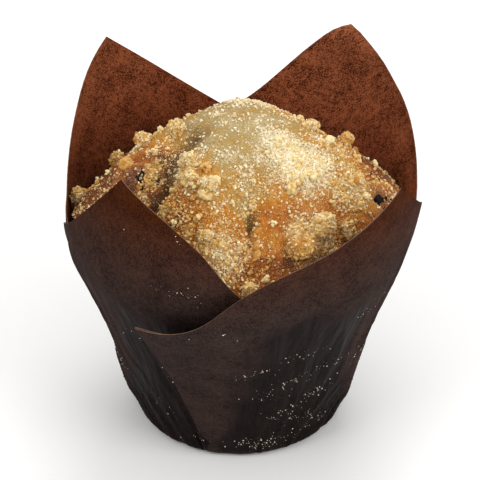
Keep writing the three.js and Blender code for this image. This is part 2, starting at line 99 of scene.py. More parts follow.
def add(tree, kind, inputs=(), stops=(), out=0, **settings):
    """Adds one node with its settings and returns its output `out`.

    Inputs are values, hex colours or links, in order or by name or number. Stops are the places
    and colours of a colour ramp."""
    new = tree.nodes.new(kind)
    for name, value in settings.items():
        setattr(new, name, value)
    for key, value in inputs.items() if isinstance(inputs, dict) else enumerate(inputs):
        if isinstance(value, bpy.types.NodeSocket):
            tree.links.new(value, new.inputs[key])
        elif isinstance(value, str) and value.startswith("#"):
            new.inputs[key].default_value = linear(value)
        else:
            new.inputs[key].default_value = value
    for index, (place, colour) in enumerate(stops):
        elements = new.color_ramp.elements
        element = elements[index] if index < 2 else elements.new(place)
        element.position = place
        element.color = linear(colour)
    return new.outputs[out] if len(new.outputs) else None


def new_material(name):
    """A material and its tree, still empty."""
    material = bpy.data.materials.new(name)
    material.use_nodes = True
    material.node_tree.nodes.clear()
    return material, material.node_tree


def finish_material(tree, inputs):
    """Every material ends in one surface shader."""
    surface = add(tree, "ShaderNodeBsdfPrincipled", inputs)
    add(tree, "ShaderNodeOutputMaterial", {"Surface": surface})


print("middle grey as linear light:", round(linear("#808080")[0], 3))

# %% Floor and lamps
LAMPS = [
    # name, place, aimed at, edge of the square, watts
    ("key_left", (-0.75, -0.55, 0.85), (0, 0, 0.05), 0.6, 3.9),
    ("fill_right", (0.85, -0.60, 0.60), (0, 0, 0.05), 0.7, 6.3),
    ("top_back", (0.10, 0.55, 1.00), (0, 0, 0.06), 0.6, 4.5),
]
ROOF_STRENGTH = 0.85
WALL_STRENGTH = 0.1
TENT_EDGE = (0.05, 0.85)    # where wall turns into roof, as the height of a ray of length 1
FLOOR_HALF = 6.0

world = bpy.data.worlds.new("tent")
world.use_nodes = True
tent = world.node_tree
looked_at = add(tent, "ShaderNodeTexCoord", out="Generated")
height_seen = add(tent, "ShaderNodeSeparateXYZ", [looked_at], out="Z")
tent_light = add(
    tent, "ShaderNodeMapRange", [height_seen, *TENT_EDGE, WALL_STRENGTH, ROOF_STRENGTH])
tent.nodes["Background"].inputs["Color"].default_value = (1, 1, 1, 1)
tent.links.new(tent_light, tent.nodes["Background"].inputs["Strength"])
bpy.context.scene.world = world

for name, place, aim, edge, watts in LAMPS:
    lamp = bpy.data.lights.new(name, "AREA")
    lamp.size = edge
    lamp.energy = watts
    holder = bpy.data.objects.new(name, lamp)
    away = np.array(place) - np.array(aim)
    holder.location = place
    holder.rotation_euler = (
        math.atan2(math.hypot(away[0], away[1]), away[2]),
        0,
        math.atan2(away[1], away[0]) + math.pi / 2,
    )
    bpy.context.scene.collection.objects.link(holder)

# Matt paint gives the table an even white without a mirror image of the case
table_top, table_tree = new_material("matt_white_table")
finish_material(table_tree, {
    "Base Color": "#fdfcfb", "Roughness": 0.9, "Specular IOR Level": 0.1})
floor_mesh = bpy.data.meshes.new("table")
floor_mesh.from_pydata([
    (x * FLOOR_HALF, y * FLOOR_HALF, 0) for x, y in ((-1, -1), (1, -1), (1, 1), (-1, 1))],
    [], [(0, 1, 2, 3)])
floor_mesh.materials.append(table_top)
floor = bpy.data.objects.new("table", floor_mesh)
bpy.context.scene.collection.objects.link(floor)
print("lamps:", len(LAMPS))

# %% [markdown]
# ## Small tools: soft steps, smooth noise and meshes
#
# Natural things are uneven at every size. The noise here is the plainest kind: random values
# on a lattice, eased from one lattice point to the next. It can wrap round a circle, which
# keeps the creases of the case in step where its azimuth passes from 360 degrees back to 0.


# %% Steps and noise
def ease(value, low, high):
    """0 below low, 1 above high, smooth between."""
    t = np.clip((value - low) / (high - low), 0, 1)
    return t * t * (3 - 2 * t)


def mix(a, b, t):
    """The value at a share t of the way from a to b."""
    return a + (b - a) * t


random = np.random.default_rng(11)
LATTICE = 1024
SHUFFLE = random.permutation(LATTICE)
LEVELS = random.uniform(-1, 1, LATTICE)


def smooth_noise(*coordinates, seed=0, wrap=None):
    """Smooth noise from -1 to 1. With wrap, the first coordinate repeats after that many cells."""
    cells = np.stack(np.broadcast_arrays(*coordinates), axis=-1)
    base = np.floor(cells).astype(int)
    t = cells - base
    t = t * t * (3 - 2 * t)
    total = 0.0
    for corner in np.ndindex(*(2,) * cells.shape[-1]):
        index = base + corner
        if wrap:
            index[..., 0] %= wrap
        key = np.full(index.shape[:-1], seed)
        for axis in range(index.shape[-1]):
            key = SHUFFLE[(key + index[..., axis]) % LATTICE]
        total = total + np.prod(np.where(corner, t, 1 - t), axis=-1) * LEVELS[key]
    return total


print("a lattice of", LATTICE, "random levels")


# %% Meshes
def mesh_piece(name, points, faces, materials, indices=None, sharp=50):
    """A new object from points in millimetres, smooth except at edges sharper than `sharp`."""
    mesh = bpy.data.meshes.new(name)
    mesh.from_pydata((points * MM).tolist(), [], faces)
    for material in materials:
        mesh.materials.append(material)
    if indices is not None:
        mesh.polygons.foreach_set("material_index", indices)
    mesh.shade_smooth()
    mesh.set_sharp_from_angle(angle=math.radians(sharp))
    mesh.update()
    piece = bpy.data.objects.new(name, mesh)
    bpy.context.scene.collection.objects.link(piece)
    return piece


def paint(piece, name, values):
    """Stores one number or one vector for each point of a piece."""
    flat = np.asarray(values, np.float32)
    kind, field = ("FLOAT_VECTOR", "vector") if flat.ndim == 2 else ("FLOAT", "value")
    attribute = piece.data.attributes.new(name, kind, "POINT")
    attribute.data.foreach_set(field, flat.ravel())


# %% [markdown]
# ## The case: one square sheet pressed into a cup
#
# A tulip case starts as a flat square. A plunger pushes its middle into a round hole, and the
# paper that no longer fits round the wall folds over itself in four Z-shaped pleats, one at
# the middle of each side. The four corners stay free and stand up as petals.
#
# Modelling it as a cone with points cut into it would lose the folds. Cloth simulation would
# fold it differently each time. So the sheet is laid out in its own polar coordinates: every
# row of the mesh is one distance from the sheet's centre, and its azimuth round the cup comes
# from how much paper there is at that distance and how much room. What is too much is the
# overlap of the pleat.

# %% Sizes of the case, in millimetres and degrees
SHEET_HALF = 80.0
SHEET_SHIFT = (-1.3, 0.7)    # how far off centre the sheet was pressed
FOOT_RADIUS = 24.5
PAPER = 0.2
LAYER_STEP = 0.45

WALL_ANGLES = (14.6, 22.5)    # from vertical, above the foot and at mid height
WALL_TURN = (18, 48)          # slant heights between which the wall opens
FOOT_TURN = (-2, 3)
LEAN_TURN = (50, 66)
TWIST_HEIGHT = 70
FOLD_HEIGHT = 58
STAND_HEIGHT = 56
PLEAT_START = (2, 10)
RAMP_HALF = 2.5
LAYER_RISE = 8
LAYER_FADE = 14
CURL_LENGTH = 8
CURL_WIDTH = 22

# Back right, back left, front left, front right
PETALS = [
    {"foot": 52.4, "tip": 61.0, "lean": 22.9, "curl": 62},
    {"foot": 142.4, "tip": 133.5, "lean": 9.0, "curl": 0},
    {"foot": 232.4, "tip": 224.4, "lean": -8.3, "curl": 0},
    {"foot": 322.4, "tip": 324.0, "lean": 7.9, "curl": 0},
]
# Back, left, front, right. `over` says which petal lies outside, the one before or after.
# `tuck` is how far the hidden middle layer was pulled down inside it, and `bows` are heights
# of one, two and three half waves in the cut edge, on each side of it
PLEATS = [
    {"foot": 96, "top": 118.5, "over": 0, "stand": 1.0, "lean": -1.0,
     "tuck": 0, "bows": ((-4.1, 1.8, -0.4), (-1.9, -0.7, 0))},
    {"foot": 181, "top": 186.8, "over": 1, "stand": 0.0, "lean": -0.4,
     "tuck": 0, "bows": ((1.5, -3.1, -0.3), (-4.5, 1.1, 0))},
    {"foot": 255.5, "top": 239.2, "over": 1, "stand": 6.6, "lean": -11.6,
     "tuck": 5, "bows": ((3.8, -1.5, 2.3), (5.7, -0.5, -1.7))},
    {"foot": 357, "top": 343.8, "over": 0, "stand": 0.0, "lean": 13.2,
     "tuck": 0, "bows": ((0.7, 0.3, -0.5), (7.1, -3.9, -1.3))},
]
SIDES = (
    SHEET_HALF + SHEET_SHIFT[1],
    SHEET_HALF - SHEET_SHIFT[0],
    SHEET_HALF - SHEET_SHIFT[1],
    SHEET_HALF + SHEET_SHIFT[0],
)
corners = [math.hypot(*pair) for pair in zip(SIDES, SIDES[1:] + SIDES[:1])]
print("from the foot to each petal's tip, mm:", [round(c - FOOT_RADIUS, 1) for c in corners])


# %% The cup
def side_distances(i):
    """Distances of the sides before, at and after pleat i."""
    return SIDES[(i + 3) % 4], SIDES[i % 4], SIDES[(i + 1) % 4]


def turn_between(azimuth, other):
    """The shorter way from one azimuth to another, from -180 to 180 degrees."""
    return (azimuth - other + 180) % 360 - 180


def lean_at(azimuth):
    """Lean of the upper case, blended from petal to pleat to petal."""
    stations, leans = [], []
    for i, petal in enumerate(PETALS):
        following = PETALS[(i + 1) % 4]["tip"] + 360 * (i == 3)
        stations += [petal["tip"], (petal["tip"] + following) / 2]
        leans += [petal["lean"], PLEATS[i]["lean"]]
    stations.append(stations[0] + 360)
    leans.append(leans[0])
    angle = (azimuth - stations[0]) % 360 + stations[0]
    index = np.clip(np.searchsorted(stations, angle) - 1, 0, len(stations) - 2)
    low, high = np.take(stations, index), np.take(stations, index + 1)
    share = 0.5 - 0.5 * np.cos(np.pi * (angle - low) / (high - low))
    return mix(np.take(leans, index), np.take(leans, index + 1), share)


def slope_at(azimuth, slant):
    """Angle of the paper from vertical, in degrees."""
    wall = mix(*WALL_ANGLES, ease(slant, *WALL_TURN))
    angle = mix(90, wall, ease(slant, *FOOT_TURN))
    angle = angle + (lean_at(azimuth) - wall) * ease(slant, *LEAN_TURN)
    for i, petal in enumerate(PETALS):
        before, at, _ = side_distances(i)
        start = math.hypot(before, at) - FOOT_RADIUS - CURL_LENGTH
        away = np.abs(turn_between(azimuth, petal["tip"]))
        curl = petal["curl"] * ease(slant, start, start + CURL_LENGTH)
        angle = angle + curl * (1 - ease(away, 0, CURL_WIDTH))
    return angle


FOOT_ROWS = np.concatenate(([4, 9, 14, 19], np.linspace(21.5, 27.2, 12)))
SLANT_FIRST = FOOT_ROWS[3] - FOOT_RADIUS
SLANT_STEP = 0.25
slants = SLANT_FIRST + np.arange(0, 106, SLANT_STEP)
azimuths = np.arange(360.0)
steps = np.radians(slope_at(azimuths[:, None], slants[None, :-1] + SLANT_STEP / 2))
CUP_RADIUS = np.pad(np.cumsum(np.sin(steps), 1), ((0, 1), (1, 0)), mode="wrap") * SLANT_STEP
CUP_HEIGHT = np.pad(np.cumsum(np.cos(steps), 1), ((0, 1), (1, 0)), mode="wrap") * SLANT_STEP
CUP_RADIUS[:, 0] = 0
CUP_HEIGHT[:, 0] = 0


def cup_at(azimuth, slant):
    """Radius and height of the cup by interpolation; inside the first row it is the flat foot."""
    across = np.mod(azimuth, 360)
    up = np.clip((slant - SLANT_FIRST) / SLANT_STEP, 0, len(slants) - 1.001)
    column, row = across.astype(int), up.astype(int)
    s, t = across - column, up - row
    found = []
    for table in (CUP_RADIUS, CUP_HEIGHT):
        low = mix(table[column, row], table[column, row + 1], t)
        high = mix(table[column + 1, row], table[column + 1, row + 1], t)
        found.append(mix(low, high, s))
    first = SLANT_FIRST + FOOT_RADIUS
    return found[0] + np.minimum(first, slant + FOOT_RADIUS), found[1]


top_radius, top_height = cup_at(np.array([0.0, 90.0, 180.0, 270.0]), np.full(4, 57.0))
print("radius at the rim, mm:", np.round(top_radius, 1), "height:", np.round(top_height, 1))


# %% [markdown]
# ### Creases and waves
#
# A press doesn't fold paper smoothly. Fine creases run up the wall, close together beside the
# pleats, and near the foot they swing round towards the front, where the sheet was dragged in
# last. All layers share the same creases, so they never cut through one another. Above the
# baked rim the paper is free, and only wide soft waves are left in it.

# %% Creases
CREASE_COUNT = 80          # creases round the cup, about 3 mm apart at the rim
CREASE_HEIGHT = 0.85
CREASE_SWING = 55          # degrees that a crease turns near the foot
SWING_HEIGHT = 36
PLEAT_CREASES = (0.8, 1.0, 0.0, 1.0)    # how creased the paper is beside each pleat
PLEAT_CREASE_WIDTH = 30
CREASE_END = (52, 72)      # slant heights between which the creases beside a pleat end
FOOT_CREASES = 0.75
FOOT_CREASE_END = (8, 34)
FAINT_CREASES = 0.12
FAINT_CREASE_END = (50, 60)
WAVE_HEIGHT = 0.7
WAVE_COUNT = 16


def beside_pleats(azimuth, width):
    """1 at the pleats of the left, right and back, fading over `width` degrees."""
    total = 0.0
    for pleat, strength in zip(PLEATS, PLEAT_CREASES):
        away = np.abs(turn_between(azimuth, pleat["top"]))
        total = total + strength * np.exp(-(away / width) ** 2)
    return np.clip(total, 0, 1)


def crease_at(azimuth, slant):
    """Outward height of the creases, in millimetres."""
    drop = np.clip(1 - slant / SWING_HEIGHT, 0, 1.2) ** 2
    turned = azimuth + CREASE_SWING * np.sin(np.radians(azimuth - 270)) * drop
    strip = turned * CREASE_COUNT / 360
    wander = smooth_noise(strip / 4, slant / 18, seed=3, wrap=CREASE_COUNT // 4)
    line = smooth_noise(strip + 0.9 * wander, slant / 30, seed=5, wrap=CREASE_COUNT)
    ridge = (1 - 2.2 * np.abs(line)) * ease(slant, -1.5, 4)
    patchy = 0.65 + 0.45 * smooth_noise(strip / 8, slant / 12, seed=8, wrap=CREASE_COUNT // 8)
    beside = beside_pleats(azimuth, PLEAT_CREASE_WIDTH) * (1 - ease(slant, *CREASE_END))
    near_foot = FOOT_CREASES * (1 - ease(slant, *FOOT_CREASE_END))
    faint = FAINT_CREASES * (1 - ease(slant, *FAINT_CREASE_END))
    return CREASE_HEIGHT * ridge * patchy * (faint + np.maximum(beside, near_foot))


def wave_at(azimuth, slant):
    """Soft waves of the free petals, in millimetres."""
    wave = smooth_noise(azimuth / 360 * WAVE_COUNT, slant / 16, seed=21, wrap=WAVE_COUNT)
    return WAVE_HEIGHT * wave * ease(slant, 50, 76)


some_creases = crease_at(np.array([90.0, 180.0, 270.0, 350.0]), 40.0)
print("creases at mid height, mm:", np.round(some_creases, 2))

# %% Pleats
def corner_angles(i):
    """Sheet angles from the middle of side i to the corners before and after it."""
    before, at, after = side_distances(i)
    return math.degrees(math.atan(before / at)), math.degrees(math.atan(after / at))


def petal_azimuth(i, slant):
    """Azimuth of petal i's diagonal, which twists on its way up."""
    petal = PETALS[i % 4]
    return mix(petal["foot"], petal["tip"], ease(slant, 0, TWIST_HEIGHT)) + 360 * (i // 4)


def pleat_at(i, slant):
    """Azimuths of both diagonals and both folds of pleat i, and how the sheet is stretched."""
    pleat = PLEATS[i]
    first, last = petal_azimuth(i, slant), petal_azimuth(i + 1, slant)
    rise = 1 - (1 - np.clip(slant / FOLD_HEIGHT, 0, 1)) ** 2
    outer = mix(pleat["foot"], pleat["top"], rise)
    stretch = (FOOT_RADIUS + slant) / cup_at(outer, slant)[0]
    overlap = np.maximum(0, (sum(corner_angles(i)) * stretch - (last - first)) / 2)
    inner = outer + overlap if pleat["over"] else outer - overlap
    return first, last, outer, inner, overlap, stretch


def petal_offset(i, azimuth, slant):
    """How far petal i lies out from the cup where it covers the pleats on its two sides."""
    offset = np.zeros(np.broadcast(azimuth, slant).shape)
    for index, side in ((i % 4, 0), ((i + 3) % 4, 1)):
        pleat = PLEATS[index]
        if pleat["over"] != side:
            continue
        _, _, outer, _, overlap, _ = pleat_at(index, slant)
        past = turn_between(azimuth, outer) if side else turn_between(outer, azimuth)
        lift = 2 * LAYER_STEP * ease(slant, 0, LAYER_RISE)
        lift = lift * (1 - ease(past, overlap, overlap + LAYER_FADE))
        stand = pleat["stand"] * np.clip(slant / STAND_HEIGHT, 0, 1.3) ** 2
        stand = stand * (1 - ease(past, 0, overlap + LAYER_FADE))
        offset = np.maximum(offset, lift + stand)
    return offset


def sheet_angle(i, part, share, slant):
    """Angle on the flat sheet of a place in pleat i, from the middle of side i."""
    first, last, outer, inner, _, stretch = pleat_at(i, slant)
    before, after = corner_angles(i)
    forward = PLEATS[i]["over"] == 1
    low = ((inner if forward else outer) - first) / stretch - before
    high = after - (last - (outer if forward else inner)) / stretch
    under, over = (low, high) if forward else (high, low)
    tips = (-before, after) if forward else (after, -before)
    ends = {
        "under": (tips[0], under),
        "inner_bend": (under, under),
        "middle": (under, over),
        "outer_bend": (over, over),
        "over": (over, tips[1]),
    }[part]
    return mix(*ends, share)


def cut_edge(i, part, share):
    """Sheet distance at which a column meets the cut edge, found by repeating a guess."""
    before, after = corner_angles(i)
    distance = np.full(share.shape, SIDES[i])
    for _ in range(40):
        angle = np.clip(sheet_angle(i, part, share, distance - FOOT_RADIUS), -before, after)
        along = np.clip(np.where(angle < 0, -angle / before, angle / after), 0, 1)
        wave = sum(
            np.where(angle < 0, low, high) * np.sin((count + 1) * np.pi * along)
            for count, (low, high) in enumerate(zip(*PLEATS[i]["bows"])))
        distance = mix(distance, SIDES[i] / np.cos(np.radians(angle)) + wave, 0.6)
    tucked = np.sin(np.pi * share) if part == "middle" else 0 * share
    return distance - PLEATS[i]["tuck"] * tucked


print("sheet angles beside a side's middle:", [round(angle, 1) for angle in corner_angles(0)])

# %% [markdown]
# ### From the flat sheet to the folded one
#
# Each pleat has five parts: the petal that lies under, the bend at its inner fold, the middle
# layer that runs back, the bend at the outer fold, and the petal that lies over. The bends
# are half circles as wide as the gap between layers. Close above the foot there is no overlap
# yet, so there the five parts melt into one plain ramp.

# %% Folding
PETAL_STEPS = 42
BEND_STEPS = 5
MIDDLE_STEPS = 10
WALL_ROWS = 90
PARTS = [
    ("under", 1 - (1 - np.linspace(0, 1, PETAL_STEPS + 1)) ** 1.25),
    ("inner_bend", np.linspace(0, 1, BEND_STEPS + 1)[1:]),
    ("middle", np.linspace(0, 1, MIDDLE_STEPS + 1)[1:]),
    ("outer_bend", np.linspace(0, 1, BEND_STEPS + 1)[1:]),
    ("over", np.linspace(0, 1, PETAL_STEPS + 1)[1:] ** 1.25),
]
CLUSTER = 2 * BEND_STEPS + MIDDLE_STEPS


def fold_part(i, part, share, slant):
    """Azimuth, sideways shift, offset and turn of the paper for one part of pleat i."""
    first, last, outer, inner, _, _ = pleat_at(i, slant)
    forward = PLEATS[i]["over"] == 1
    side = 1 if forward else -1
    under_tip, over_tip = (first, last) if forward else (last, first)
    under_petal, over_petal = (i, i + 1) if forward else (i + 1, i)
    inner_offset = petal_offset(under_petal, inner, slant)
    outer_offset = petal_offset(over_petal, outer, slant)
    bend = LAYER_STEP / 2
    turn = share * np.pi
    centre = (inner + outer) / 2
    degrees = 1 / np.radians(cup_at(centre, slant)[0])
    if part == "under":
        step, folded = 0, (inner, 0, inner_offset, 0)
    if part == "inner_bend":
        step = share * BEND_STEPS
        offset = inner_offset + bend - bend * np.cos(turn)
        folded = (inner, side * bend * np.sin(turn), offset, side * turn)
    if part == "middle":
        step = BEND_STEPS + share * MIDDLE_STEPS
        offset = mix(inner_offset + 2 * bend, outer_offset - 2 * bend, share)
        folded = (mix(inner, outer, share), 0, offset, side * np.pi)
    if part == "outer_bend":
        step = BEND_STEPS + MIDDLE_STEPS + share * BEND_STEPS
        offset = outer_offset - bend - bend * np.cos(turn)
        folded = (outer, -side * bend * np.sin(turn), offset, side * (np.pi - turn))
    if part == "over":
        step, folded = CLUSTER, (outer, 0, outer_offset, 0)
    ramp_azimuth = centre + side * RAMP_HALF * degrees * (2 * step / CLUSTER - 1)
    ramp = (ramp_azimuth, 0, mix(inner_offset, outer_offset, step / CLUSTER), 0)
    opening = ease(slant, *PLEAT_START)
    placed = [mix(a, b, opening) for a, b in zip(ramp, folded)]
    if part == "under":
        placed[0] = mix(under_tip, placed[0], share)
        placed[2] = petal_offset(under_petal, placed[0], slant)
    if part == "over":
        placed[0] = mix(placed[0], over_tip, share)
        placed[2] = petal_offset(over_petal, placed[0], slant)
    return [np.broadcast_to(value, slant.shape) for value in placed]


print("columns from petal to petal:", 2 * PETAL_STEPS + CLUSTER)

# %% Fat in the paper
SOAK_LINE = (49, 57)    # slant heights between which the fat from the crumb stops
SOAK_LUMPS = 40         # round the cup, where the fat climbed higher
EDGE_LUMPS = 30         # round the cup, in the edge under a fold


def soaked_at(i, part, azimuth, slant):
    """1 where fat has soaked in: below the baked rim, and not where another layer lies between."""
    climbed = smooth_noise(azimuth / 360 * SOAK_LUMPS, slant / 9, seed=31, wrap=SOAK_LUMPS)
    soaked = 1 - ease(slant + 3.5 * climbed, *SOAK_LINE)
    if part in ("over", "outer_bend", "middle"):
        _, _, outer, _, overlap, _ = pleat_at(i, slant)
        lumps = smooth_noise(azimuth / 360 * EDGE_LUMPS, slant / 7, seed=33, wrap=EDGE_LUMPS)
        past = np.abs(azimuth - outer) + 5 * lumps
        soaked = soaked * ease(past, 0.8 * overlap, 1.1 * overlap + 4)
    return soaked


print("fat stops between", SOAK_LINE, "mm up the wall")

# %% The folded sheet as one grid
def sheet_points(i, part, share):
    """Middle of the paper, direction of its outside, flat place and fat for one part."""
    share = share[:, None]
    end = cut_edge(i, part, share)
    wall = mix(FOOT_ROWS[-1], end, np.linspace(0, 1, WALL_ROWS + 1)[None, 1:])
    foot = np.broadcast_to(FOOT_ROWS, (len(share), len(FOOT_ROWS)))
    distance = np.concatenate((foot, wall), axis=1)
    slant = distance - FOOT_RADIUS
    azimuth, shift, offset, turn = fold_part(i, part, share, slant)
    radius, height = cup_at(azimuth, slant)
    radius = radius + offset + crease_at(azimuth, slant) + wave_at(azimuth, slant)
    slope = np.radians(slope_at(azimuth, slant))
    angle = np.radians(azimuth)
    out = np.stack((np.cos(angle), np.sin(angle), np.zeros_like(angle)), -1)
    along = np.stack((-out[..., 1], out[..., 0], out[..., 2]), -1)
    normal = out * np.cos(slope)[..., None]
    normal[..., 2] = -np.sin(slope)
    outside = normal * np.cos(turn)[..., None] - along * np.sin(turn)[..., None]
    middle = out * radius[..., None] + along * shift[..., None]
    middle[..., 2] = height + PAPER / 2
    sheet = np.radians(90 * (i + 1) + sheet_angle(i, part, share, slant))
    flat = np.stack((distance * np.cos(sheet), distance * np.sin(sheet), 0 * sheet), -1)
    return middle, outside, flat * MM, soaked_at(i, part, azimuth, slant), slant


gathered = []
for i, pleat in enumerate(PLEATS):
    made = [sheet_points(i, part, share) for part, share in PARTS]
    joined = [np.concatenate(values) for values in zip(*made)]
    if pleat["over"] == 0:
        joined = [values[::-1] for values in joined]
    gathered.append([values[:-1] for values in joined])
middle, outside, flat, soaked, sheet_slant = [np.concatenate(v) for v in zip(*gathered)]
COLUMNS, ROWS = middle.shape[:2]
print("folded sheet:", COLUMNS, "columns,", ROWS, "rows")

# %% [markdown]
# ### Greaseproof paper
#
# The case is greaseproof paper, beaten so fine that fat passes it slowly, and dyed brown right
# through. Three things make it look real. Its fibres lie in small clouds, about a millimetre
# across. Where fat has soaked in, the air between the fibres is gone, so the paper turns
# nearly black and shines on its crinkles. And the inside is a warmer and lighter brown: its own
# dye, with painted light for the light that shines through the thin paper. The outside is painted
# darker and duller low on the wall, a painted shade, and fuller and lighter on the free petals.
# The patterns read the flat sheet's own coordinates, so they follow each fold. The
# crinkles read a cylinder that is squeezed along the wall, which draws them out.

# %% Paper materials
FIBRE_CLOUD = 1.3 * MM
BLOTCH = 7.0 * MM
FIBRE = 0.35 * MM     # real fibres are finer, and drawn this coarse to show
CRINKLE = 4.0 * MM
CRINKLE_DEPTH = 1.4 * MM
WALL_SHADE_HEIGHTS = (54 * MM, 80 * MM)    # between which the painted shade low on the wall gives way to fuller, lighter petals
FATTY_ROUGHNESS = 0.5


def greaseproof(name, dry, fatty, roughness, contrast, fullness=(1, 1), light=(1, 1)):
    """Dyed greaseproof paper: dark and light colours where it is dry, and where it is fatty.

    Fullness and light say how strong and how light the colour is on the wall and on the petals; the
    darker wall is painted shade."""
    material, tree = new_material(name)
    sheet = add(tree, "ShaderNodeAttribute", attribute_name="flat", out="Vector")
    fat = add(tree, "ShaderNodeAttribute", attribute_name="soaked", out="Fac")
    drawn_out = add(tree, "ShaderNodeAttribute", attribute_name="crinkle", out="Vector")
    cloud, blotch, fibre, crinkle = [
        add(tree, "ShaderNodeTexNoise", {
            "Vector": place, "Scale": 1 / size, "Detail": detail, "Roughness": rough})
        for place, size, detail, rough in (
            (sheet, FIBRE_CLOUD, 4.0, 0.7), (sheet, BLOTCH, 2.0, 0.5),
            (sheet, FIBRE, 2.0, 0.6), (drawn_out, CRINKLE, 2.0, 0.55))]
    uneven = add(tree, "ShaderNodeMix", {0: 0.35, 2: cloud, 3: blotch})
    uneven = add(tree, "ShaderNodeMix", {0: 0.5, 2: uneven, 3: fibre})
    share = add(tree, "ShaderNodeMapRange", [uneven, 0.5 - contrast, 0.5 + contrast])
    colours = {"data_type": "RGBA", "out": MIX_RESULT}
    dry_dye = add(tree, "ShaderNodeMix", {0: share, MIX_A: dry[0], MIX_B: dry[1]}, **colours)
    fatty_dye = add(tree, "ShaderNodeMix", {0: share, MIX_A: fatty[0], MIX_B: fatty[1]}, **colours)
    dye = add(tree, "ShaderNodeMix", {0: fat, MIX_A: dry_dye, MIX_B: fatty_dye}, **colours)
    place = add(tree, "ShaderNodeTexCoord", out="Object")
    height = add(tree, "ShaderNodeSeparateXYZ", [place], out="Z")
    # Duller and darker low on the wall, lighter on the petals: a painted shade that fades with
    # height
    strong, shade_by_height = [
        add(tree, "ShaderNodeMapRange", [height, *WALL_SHADE_HEIGHTS, *ends])
        for ends in (fullness, light)]
    dye = add(tree, "ShaderNodeHueSaturation", {
        "Saturation": strong, "Value": shade_by_height, "Color": dye})
    furry = add(tree, "ShaderNodeBump", {
        "Height": fibre, "Strength": 0.35, "Distance": 0.05 * MM})
    crinkled = add(tree, "ShaderNodeBump", {
        "Height": crinkle, "Strength": fat, "Distance": CRINKLE_DEPTH, "Normal": furry})
    finish_material(tree, {
        "Base Color": dye, "Normal": crinkled, "Specular IOR Level": 0.03,
        "Roughness": add(tree, "ShaderNodeMapRange", [fat, 0, 1, roughness, FATTY_ROUGHNESS])})
    return material


# Outside: the last two pairs paint the wall duller and darker than the petals, as painted shade
paper_outside = greaseproof(
    "greaseproof_paper_outside", ("#241512", "#55372b"), ("#120a08", "#31201a"), 0.85, 0.1,
    (0.65, 1.3), (0.62, 1.03))
# Inside: the paper's dye, painted warmer and lighter with painted light shining through the thin
# paper
paper_inside_lit_through = greaseproof(
    "greaseproof_paper_inside", ("#381709", "#985738"), ("#1f0d07", "#3f2013"), 0.85, 0.07)
paper_edge = greaseproof(
    "greaseproof_paper_cut_edge", ("#664a3b", "#8f705d"), ("#403028", "#59463a"), 0.9, 0.2)
print("paper materials made")

# %% Joining the grid into a closed shell
def declare(piece, slot, *nodes):
    """Attaches a piece to the root body and hides the imported nodes it stands for; slot is not
    used.
    """
    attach(piece, "root")
    if nodes:
        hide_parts(*nodes)
    return piece


CRINKLE_RADIUS = 35       # of the cylinder that the crinkles are drawn on, in millimetres
CRINKLE_SQUEEZE = 0.2

SIDE_COUNT = COLUMNS * ROWS
outer_side = (middle + outside * PAPER / 2).reshape(-1, 3)
inner_side = (middle - outside * PAPER / 2).reshape(-1, 3)
shell_points = np.concatenate((outer_side, inner_side, [[0, 0, 0], [0, 0, PAPER]]))
number = np.arange(SIDE_COUNT).reshape(COLUMNS, ROWS)
following = np.roll(number, -1, axis=0)
quads = np.stack((number[:, :-1], following[:, :-1], following[:, 1:], number[:, 1:]), -1)
outer_faces = quads.reshape(-1, 4)
inner_faces = outer_faces[:, ::-1] + SIDE_COUNT
edge = (number[:, -1], following[:, -1])
edge_faces = np.stack((*edge, edge[1] + SIDE_COUNT, edge[0] + SIDE_COUNT), -1)
below = np.full(COLUMNS, 2 * SIDE_COUNT)
foot_below = np.stack((below, following[:, 0], number[:, 0]), -1)
foot_above = np.stack((below + 1, number[:, 0] + SIDE_COUNT, following[:, 0] + SIDE_COUNT), -1)
shell_groups = (outer_faces, inner_faces, edge_faces, foot_below, foot_above)
shell_faces = [face for group in shell_groups for face in group.tolist()]
face_materials = np.repeat((0, 1, 2, 0, 1), [len(group) for group in shell_groups])
case = mesh_piece(
    "paper_case_folded", shell_points, shell_faces,
    [paper_outside, paper_inside_lit_through, paper_edge], face_materials)
around = np.arctan2(middle[..., 1], middle[..., 0])
crinkle_place = MM * np.stack((
    CRINKLE_RADIUS * np.cos(around), CRINKLE_RADIUS * np.sin(around),
    CRINKLE_SQUEEZE * sheet_slant), -1)
for name, side in (("flat", flat), ("crinkle", crinkle_place)):
    paint(case, name, np.concatenate((side.reshape(-1, 3), side.reshape(-1, 3), np.zeros((2, 3)))))
paint(case, "soaked", np.concatenate((soaked.ravel(), soaked.ravel(), (1, 1))))
declare(case, "paper", "paper_case")
print("case triangles:", sum(len(face) - 2 for face in shell_faces))

# %% [markdown]
# ## The muffin: a batter that rose, split and browned
#
# Batter rises until its skin sets, and then the inside pushes on and splits the skin. So the
# top is a dome with swellings, and cracks between them where paler, moister crumb shows. It
# browns most where it meets the hot case, least where it rose last.
#
# A sculpted ball would have poles and uneven faces. Here a square grid is pressed into a disc
# instead, which gives the same fine mesh everywhere. Its height is one formula: the dome, plus
# swellings, less cracks.

# %% Sizes of the muffin
CLEARANCE = 0.3
CAKE_INSET = 1.15
CAD_PAPER = 0.4
APEX = 82
DOME_DROP = 25
DOME_RADIUS = 41.5
DOME_POWER = 2.15
RIM_SLANT = 57.5
RIM_LIMIT = 42.6
CAKE_WALL = (55, 48, 38, 26, 14, 3.2, -1)
GRID = 288
DOME_SPREAD = math.radians(54)

# Swellings: x, y, radius, height
LOBES = [
    (15, -22, 11, 1.7), (-9, -20, 8, 2.0), (-25, -2, 8, 1.6), (27, -5, 8, 1.3),
    (0, -14, 5, 1.2), (-16, 25, 11, -3.0), (-33, 18, 12, -5.0), (23, 22, 12, -3.2),
    (-2, 25, 8, 1.0),
]
# Where the crumb shrank from its case: azimuth, half width in degrees, drop of the rim
RIM_DIP = (148, 26, 5)
